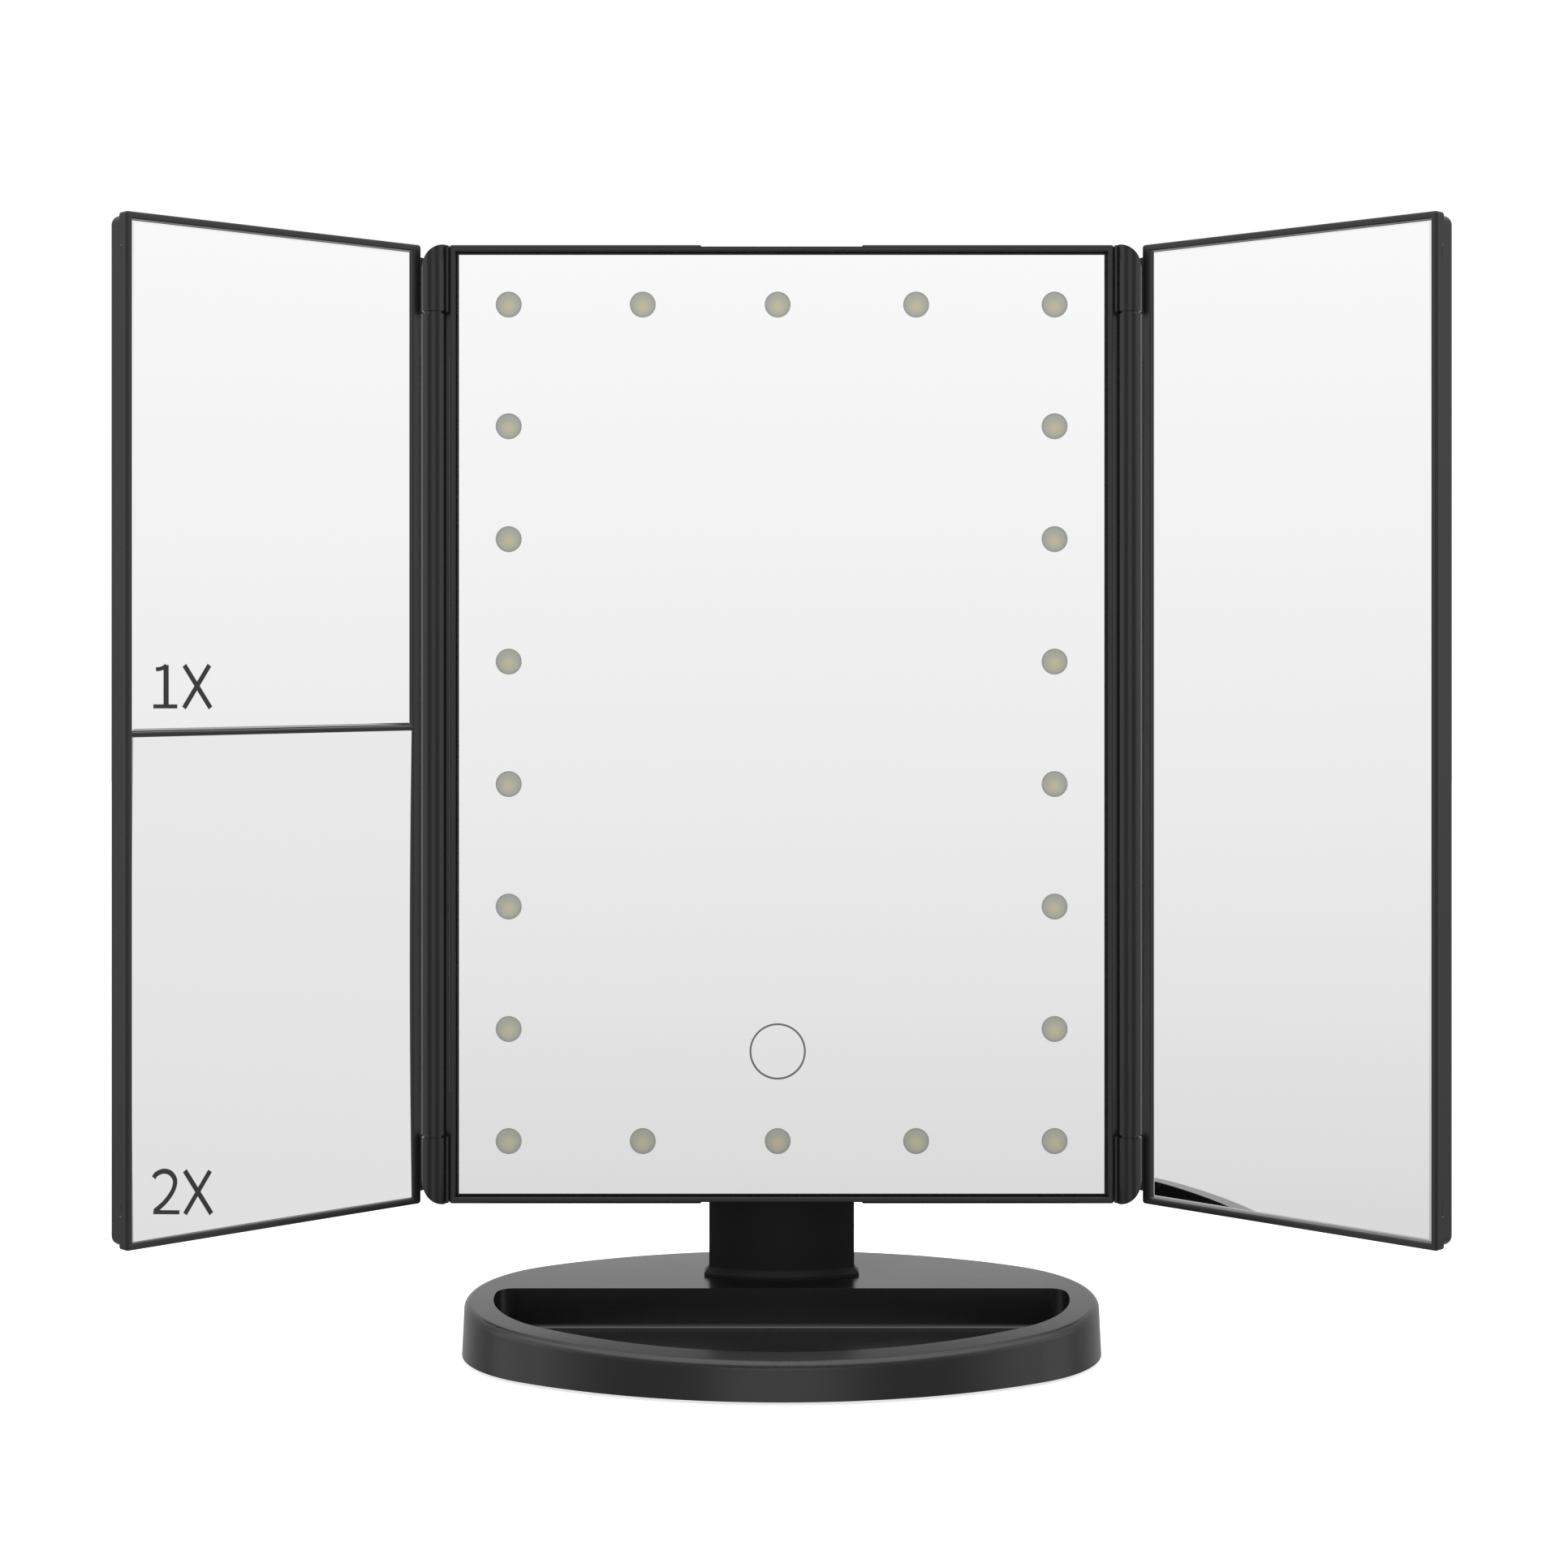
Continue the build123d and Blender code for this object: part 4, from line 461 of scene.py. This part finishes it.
LED_COLUMNS = stepped(LED_INSET - PANEL_W / 2, PANEL_W / 2 - LED_INSET, LED_COLUMN_STEPS)
LED_ROWS = stepped(PANEL_BOTTOM + LED_BOTTOM_INSET, PANEL_TOP - LED_INSET, LED_ROW_STEPS)


def led_points():
    """Window centres as X and Z: full rows at the top and bottom, outer columns between."""
    ends = np.stack(np.meshgrid(LED_COLUMNS, LED_ROWS[[0, -1]]), axis=-1).reshape(-1, 2)
    sides = np.stack(np.meshgrid(LED_COLUMNS[[0, -1]], LED_ROWS[1:-1]), axis=-1).reshape(-1, 2)
    return np.concatenate([ends, sides])


def on_panel(x, z, depth):
    """Points at X and Z, depth behind the centre panel's front plane."""
    return np.stack(np.broadcast_arrays(x, PANEL_FRONT + depth, z), axis=-1)


def on_left_wing(across, z, depth):
    """Points on the left wing: hinge line + across along the wing + depth against its face."""
    turn = math.radians(OPEN_ANGLE)
    x = -HINGE_X + across * math.cos(turn) - (WING_SETBACK + depth) * math.sin(turn)
    y = HINGE_Y + across * math.sin(turn) + (WING_SETBACK + depth) * math.cos(turn)
    return np.stack(np.broadcast_arrays(x, y, z), axis=-1)


# ---------------------------------------------------------------- lights and touch key


def window_frost():
    """Matt filling of the etched windows: flat discs, each a small profile turned about its axis.

    The profile runs from the middle of the front over the edge to the middle of the back.
    """
    reach = np.array([0, 0.35, 0.7, 0.95, 1, 1, 0]) * (LED_WINDOW_R - PRINT_SIDE_GAP)
    depth = np.array([PRINT_FRONT] * 4 + [PRINT_FRONT + PRINT_CORNER] + [PRINT_BACK] * 2)
    angle = np.linspace(0, 2 * np.pi, WINDOW_SIDES, endpoint=False)
    centre = led_points()
    x = centre[:, None, None, 0] + reach[:, None] * np.cos(angle)
    z = centre[:, None, None, 1] + reach[:, None] * np.sin(angle)
    piece = surface("window_frost", on_panel(x, z, depth[:, None]), etched_window())
    places = vertex_places(piece)
    from_centre = places[:, None, [0, 2]] - centre
    nearest = np.argmin(np.hypot(from_centre[..., 0], from_centre[..., 1]), axis=1)
    local = from_centre[np.arange(len(places)), nearest] / LED_WINDOW_R
    spot = piece.data.attributes.new("spot", "FLOAT_VECTOR", "POINT")
    spot.data.foreach_set("vector", np.column_stack([local, np.zeros(len(local))]).ravel())
    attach(piece, "panel")
    return piece


def touch_ring():
    """Printed outline of the touch key: a flat rectangle carried round a circle."""
    half = TOUCH_LINE / 2 - PRINT_SIDE_GAP
    reach = TOUCH_R + np.array([-half, half, half, -half])
    depth = np.array([PRINT_FRONT, PRINT_FRONT, PRINT_BACK, PRINT_BACK])
    angle = np.linspace(0, 2 * np.pi, RING_SIDES, endpoint=False)
    x = LED_COLUMNS[2] + reach * np.cos(angle)[:, None]
    z = PANEL_BOTTOM + TOUCH_RISE + reach * np.sin(angle)[:, None]
    ring = on_panel(x, z, np.broadcast_to(depth, x.shape))
    piece = surface("touch_ring", ring[None], screen_print("grey_ink", "#828383"), True)
    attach(piece, "panel")
    return piece


# ---------------------------------------------------------------- left wing glass and marks


def magnifier_depth(across, z):
    """Depth of the magnifying pane's front: its sphere's middle lies far in front of the pane."""
    out_sq = (across - PANE_MID) ** 2 + (z - LOWER_PANE_MID) ** 2
    return MAGNIFIER_FRONT - MAGNIFIER_RADIUS + np.sqrt(MAGNIFIER_RADIUS**2 - out_sq)


def magnifier_pane():
    """Magnifying pane: a rectangle of a hollow sphere, its back a larger sphere, MAGNIFIER_T on.

    Each row crosses the front and returns along the back; the end rows close at half thickness.
    """
    half_w = WING_OPENING_W / 2 - GLASS_GAP
    half_h = PANE_OPENING_H / 2 - GLASS_GAP
    out = np.linspace(-half_w, half_w, PANE_COLUMNS)
    across = PANE_MID + np.concatenate([out, out[::-1]])
    up = np.concatenate([[-half_h], np.linspace(-half_h, half_h, PANE_ROWS), [half_h]])
    z = (LOWER_PANE_MID + up)[:, None]
    thickness = np.tile(np.repeat([0.0, MAGNIFIER_T], PANE_COLUMNS), (len(up), 1))
    thickness[[0, -1]] = MAGNIFIER_T / 2
    depth = magnifier_depth(across, z) + thickness
    piece = surface("magnifier_pane", on_left_wing(across, z, depth)[None], MIRROR)
    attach(piece, "left_wing")
    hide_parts("left_lower_mirror")
    return piece


def smooth_path(corners, steps=12):
    """A path through the corners: a cubic between each two, led by the corners on either side."""
    held = np.concatenate([corners[:1], corners, corners[-1:]])
    a, b, c, d = held[:-3], held[1:-2], held[2:-1], held[3:]
    t = np.linspace(0, 1, steps, endpoint=False)[:, None, None]
    curve = 0.5 * (
        2 * b
        + (c - a) * t
        + (2 * a - 5 * b + 4 * c - d) * t**2
        + (3 * b - a - 3 * c + d) * t**3
    )
    return np.concatenate([curve.transpose(1, 0, 2).reshape(-1, 2), corners[-1:]])


def stroke(path, width, lift, face_depth):
    """A flat bar carried along the path, width wide and from the glass to lift above it.

    The ends close on the bar's own middle line.
    """
    along = np.gradient(path, axis=0)
    along /= np.linalg.norm(along, axis=1, keepdims=True)
    side = np.stack([-along[:, 1], along[:, 0]], axis=-1) * width / 2
    rings = np.stack([path - side, path + side, path + side, path - side], axis=1)
    height = np.broadcast_to([lift, lift, 0, 0], rings.shape[:2]).copy()
    rings = np.concatenate([rings[:1], rings, rings[-1:]])
    height = np.concatenate([np.full((1, 4), lift / 2), height, np.full((1, 4), lift / 2)])
    across, z = rings[..., 0], rings[..., 1]
    return on_left_wing(across, z, face_depth(across, z) - height)


def mark(name, strokes, face_depth, ink):
    """A printed mark from its strokes, each a row of corners and a width."""
    parts = []
    for order, (corners, width) in enumerate(strokes):
        lift = MARK_T + MARK_STEP * order
        bar = stroke(smooth_path(np.array(corners)), width, lift, face_depth)
        parts.append(surface(f"{name}_{order}", bar[None], ink))
    with bpy.context.temp_override(active_object=parts[0], selected_editable_objects=parts):
        bpy.ops.object.join()
    parts[0].name = name
    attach(parts[0], "left_wing")
    return parts[0]


# strokes of the marks: corners as across and Z, and the stroke's width
ONE_X = [
    ([(-78.1, 169.3), (-76.95, 169.4), (-76.1, 169.7), (-75.3, 170.2)], MARK_THIN_STROKE),
    ([(-75.4, 170.3), (-75.4, 160.7)], MARK_THICK_STROKE),
    ([(-78.8, 160.7), (-72.4, 160.6)], MARK_THIN_STROKE),
    ([(-70.5, 170.2), (-63.4, 160.1)], MARK_SLANT_STROKE),
    ([(-63.7, 170.2), (-70.6, 160.2)], MARK_SLANT_STROKE),
]
CURVE_OF_TWO = [(-78.7, 51.4), (-77.9, 52.2), (-76.1, 52.6), (-74.3, 52.0), (-73.1, 50.5)]
CURVE_OF_TWO += [(-73.1, 48.9), (-74.0, 47.2), (-75.9, 45.3), (-78.6, 43.6)]
TWO_X = [
    (CURVE_OF_TWO, MARK_SLANT_STROKE),
    ([(-78.9, 43.5), (-71.9, 42.5)], MARK_THIN_STROKE),
    ([(-70.3, 52.0), (-63.2, 41.0)], MARK_SLANT_STROKE),
    ([(-63.4, 51.1), (-70.4, 41.9)], MARK_SLANT_STROKE),
]


def plain_depth(across, z):
    """Depth of the plain pane's front."""
    return np.full_like(across, GLASS_SETBACK)


window_frost()
touch_ring()
mark_ink = screen_print("dark_ink", "#2c2c2d")
left_pieces = [
    magnifier_pane(),
    mark("mark_one_x", ONE_X, plain_depth, mark_ink),
    mark("mark_two_x", TWO_X, magnifier_depth, mark_ink),
]

# a wing is left out of reflections, so that the other wing's mirrors show the tent alone
WING_NODES = (
    "left_lower_pad left_upper_mirror left_upper_pad left_wing_frame left_wing_shell "
    "right_mirror right_pad right_wing_frame right_wing_shell"
)
for piece in left_pieces + [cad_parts[name] for name in WING_NODES.split()]:
    piece.visible_glossy = False


# ---------------------------------------------------------------- floor, light and camera


def pale_floor():
    """A white sweep: as bright as the backdrop, with only the faint shadow under the object."""
    mesh = bpy.data.meshes.new("floor")
    half = FLOOR_HALF * MM
    corners = [(-half, -half, 0), (half, -half, 0), (half, half, 0), (-half, half, 0)]
    mesh.from_pydata(corners, [], [(0, 1, 2, 3)])
    floor = bpy.data.objects.new("floor", mesh)
    made, tree = blank_material("painted_white_floor")
    grain = noise(tree, 30.0)
    tone = blend_colours(tree, grain, linear("#e6e6e6"), linear("#ebebeb"))
    paint = add(tree, "BsdfDiffuse", {"Color": tone})
    glow = add(tree, "Emission", {"Color": (1, 1, 1, 1), "Strength": FLOOR_GLOW})
    both = add(tree, "AddShader", {0: paint.outputs[0], 1: glow.outputs[0]})
    seen = add(tree, "LightPath").outputs["Is Camera Ray"]
    shader = add(tree, "MixShader", {0: seen, 1: paint.outputs[0], 2: both.outputs[0]})
    mesh.materials.append(finished(made, tree, shader))
    floor.visible_glossy = False
    bpy.context.scene.collection.objects.link(floor)


def grey_fade(tree, value, stops):
    """Greys over the value, from stops of a value and a colour in rising order."""
    low, high = stops[0][0], stops[-1][0]
    share = add(tree, "MapRange", {"Value": value, 1: low, 2: high, 3: 0.0, 4: 1.0})
    fade = add(tree, "ValToRGB", {0: share.outputs["Result"]})
    while len(fade.color_ramp.elements) < len(stops):
        fade.color_ramp.elements.new(0.5)
    for element, (place, colour) in zip(fade.color_ramp.elements, stops):
        element.position = (place - low) / (high - low)
        element.color = linear(colour)
    return fade.outputs["Color"]


# the tent's greys over the slope of a ray, which is its rise over its run
TENT_BY_SLOPE = [
    (-1.5, "#e0e0e0"),
    (-0.6, "#c4c4c4"),
    (-0.24, "#cacaca"),
    (-0.2, "#dbdbdb"),
    (-0.11, "#e8e8e8"),
    (0.0, "#f2f2f2"),
    (0.15, "#fcfcfc"),
]
# and over its Y, which is -1 straight in front of the object and 1 straight behind it
TENT_BY_Y = [
    (-1.0, "#ffffff"),
    (-0.96, "#ffffff"),
    (-0.93, "#a0a0a0"),
    (-0.66, "#a0a0a0"),
    (-0.46, "#ffffff"),
    (0.06, "#ffffff"),
    (0.24, "#b4b4b4"),
    (1.0, "#f0f0f0"),
]


def studio_light():
    """A tent with a white backdrop: lit sides and roof, a dim front wall, a bright opening in it.

    The opening is what the centre mirror shows, the sides are what the wings show.
    """
    world = bpy.data.worlds.new("tent")
    world.use_nodes = True
    tree = world.node_tree
    tree.nodes.clear()
    direction = add(tree, "TexCoord").outputs["Generated"]
    ray = add(tree, "SeparateXYZ", {0: direction})
    level = add(tree, "VectorMath", {0: direction, 1: (1, 1, 0)}, operation="MULTIPLY").outputs[0]
    run = add(tree, "VectorMath", {0: level}, operation="LENGTH").outputs["Value"]
    slope = add(tree, "Math", {0: ray.outputs["Z"], 1: run}, operation="DIVIDE").outputs[0]
    height = grey_fade(tree, slope, TENT_BY_SLOPE)
    side = grey_fade(tree, ray.outputs["Y"], TENT_BY_Y)
    both = add(tree, "VectorMath", {0: height, 1: side}, operation="MULTIPLY").outputs[0]
    roof = add(
        tree, "MapRange", {"Value": ray.outputs["Z"], 1: 0.55, 2: 0.85, 3: 1.0, 4: ROOF_STRENGTH}
    )
    lit = add(tree, "Background", {"Color": both, "Strength": roof.outputs["Result"]})
    backdrop = add(tree, "Background", {"Color": (1, 1, 1, 1), "Strength": 1.0})
    seen = add(tree, "LightPath").outputs["Is Camera Ray"]
    shader = add(tree, "MixShader", {0: seen, 1: lit.outputs[0], 2: backdrop.outputs[0]})
    add(tree, "OutputWorld", {"Surface": shader.outputs[0]})
    bpy.context.scene.world = world


def front_camera():
    """A level camera in front of the left-right middle, a little above half the panel's height."""
    data = bpy.data.cameras.new("front_camera")
    data.lens = CAMERA_LENS
    data.sensor_width = CAMERA_SENSOR
    data.shift_x, data.shift_y = CAMERA_SHIFT
    camera = bpy.data.objects.new("front_camera", data)
    camera.location = np.array(CAMERA_PLACE) * MM
    camera.rotation_euler = (math.radians(90), 0, 0)
    bpy.context.scene.collection.objects.link(camera)
    bpy.context.scene.camera = camera


pale_floor()
studio_light()
front_camera()
bpy.context.scene.view_settings.view_transform = "Standard"
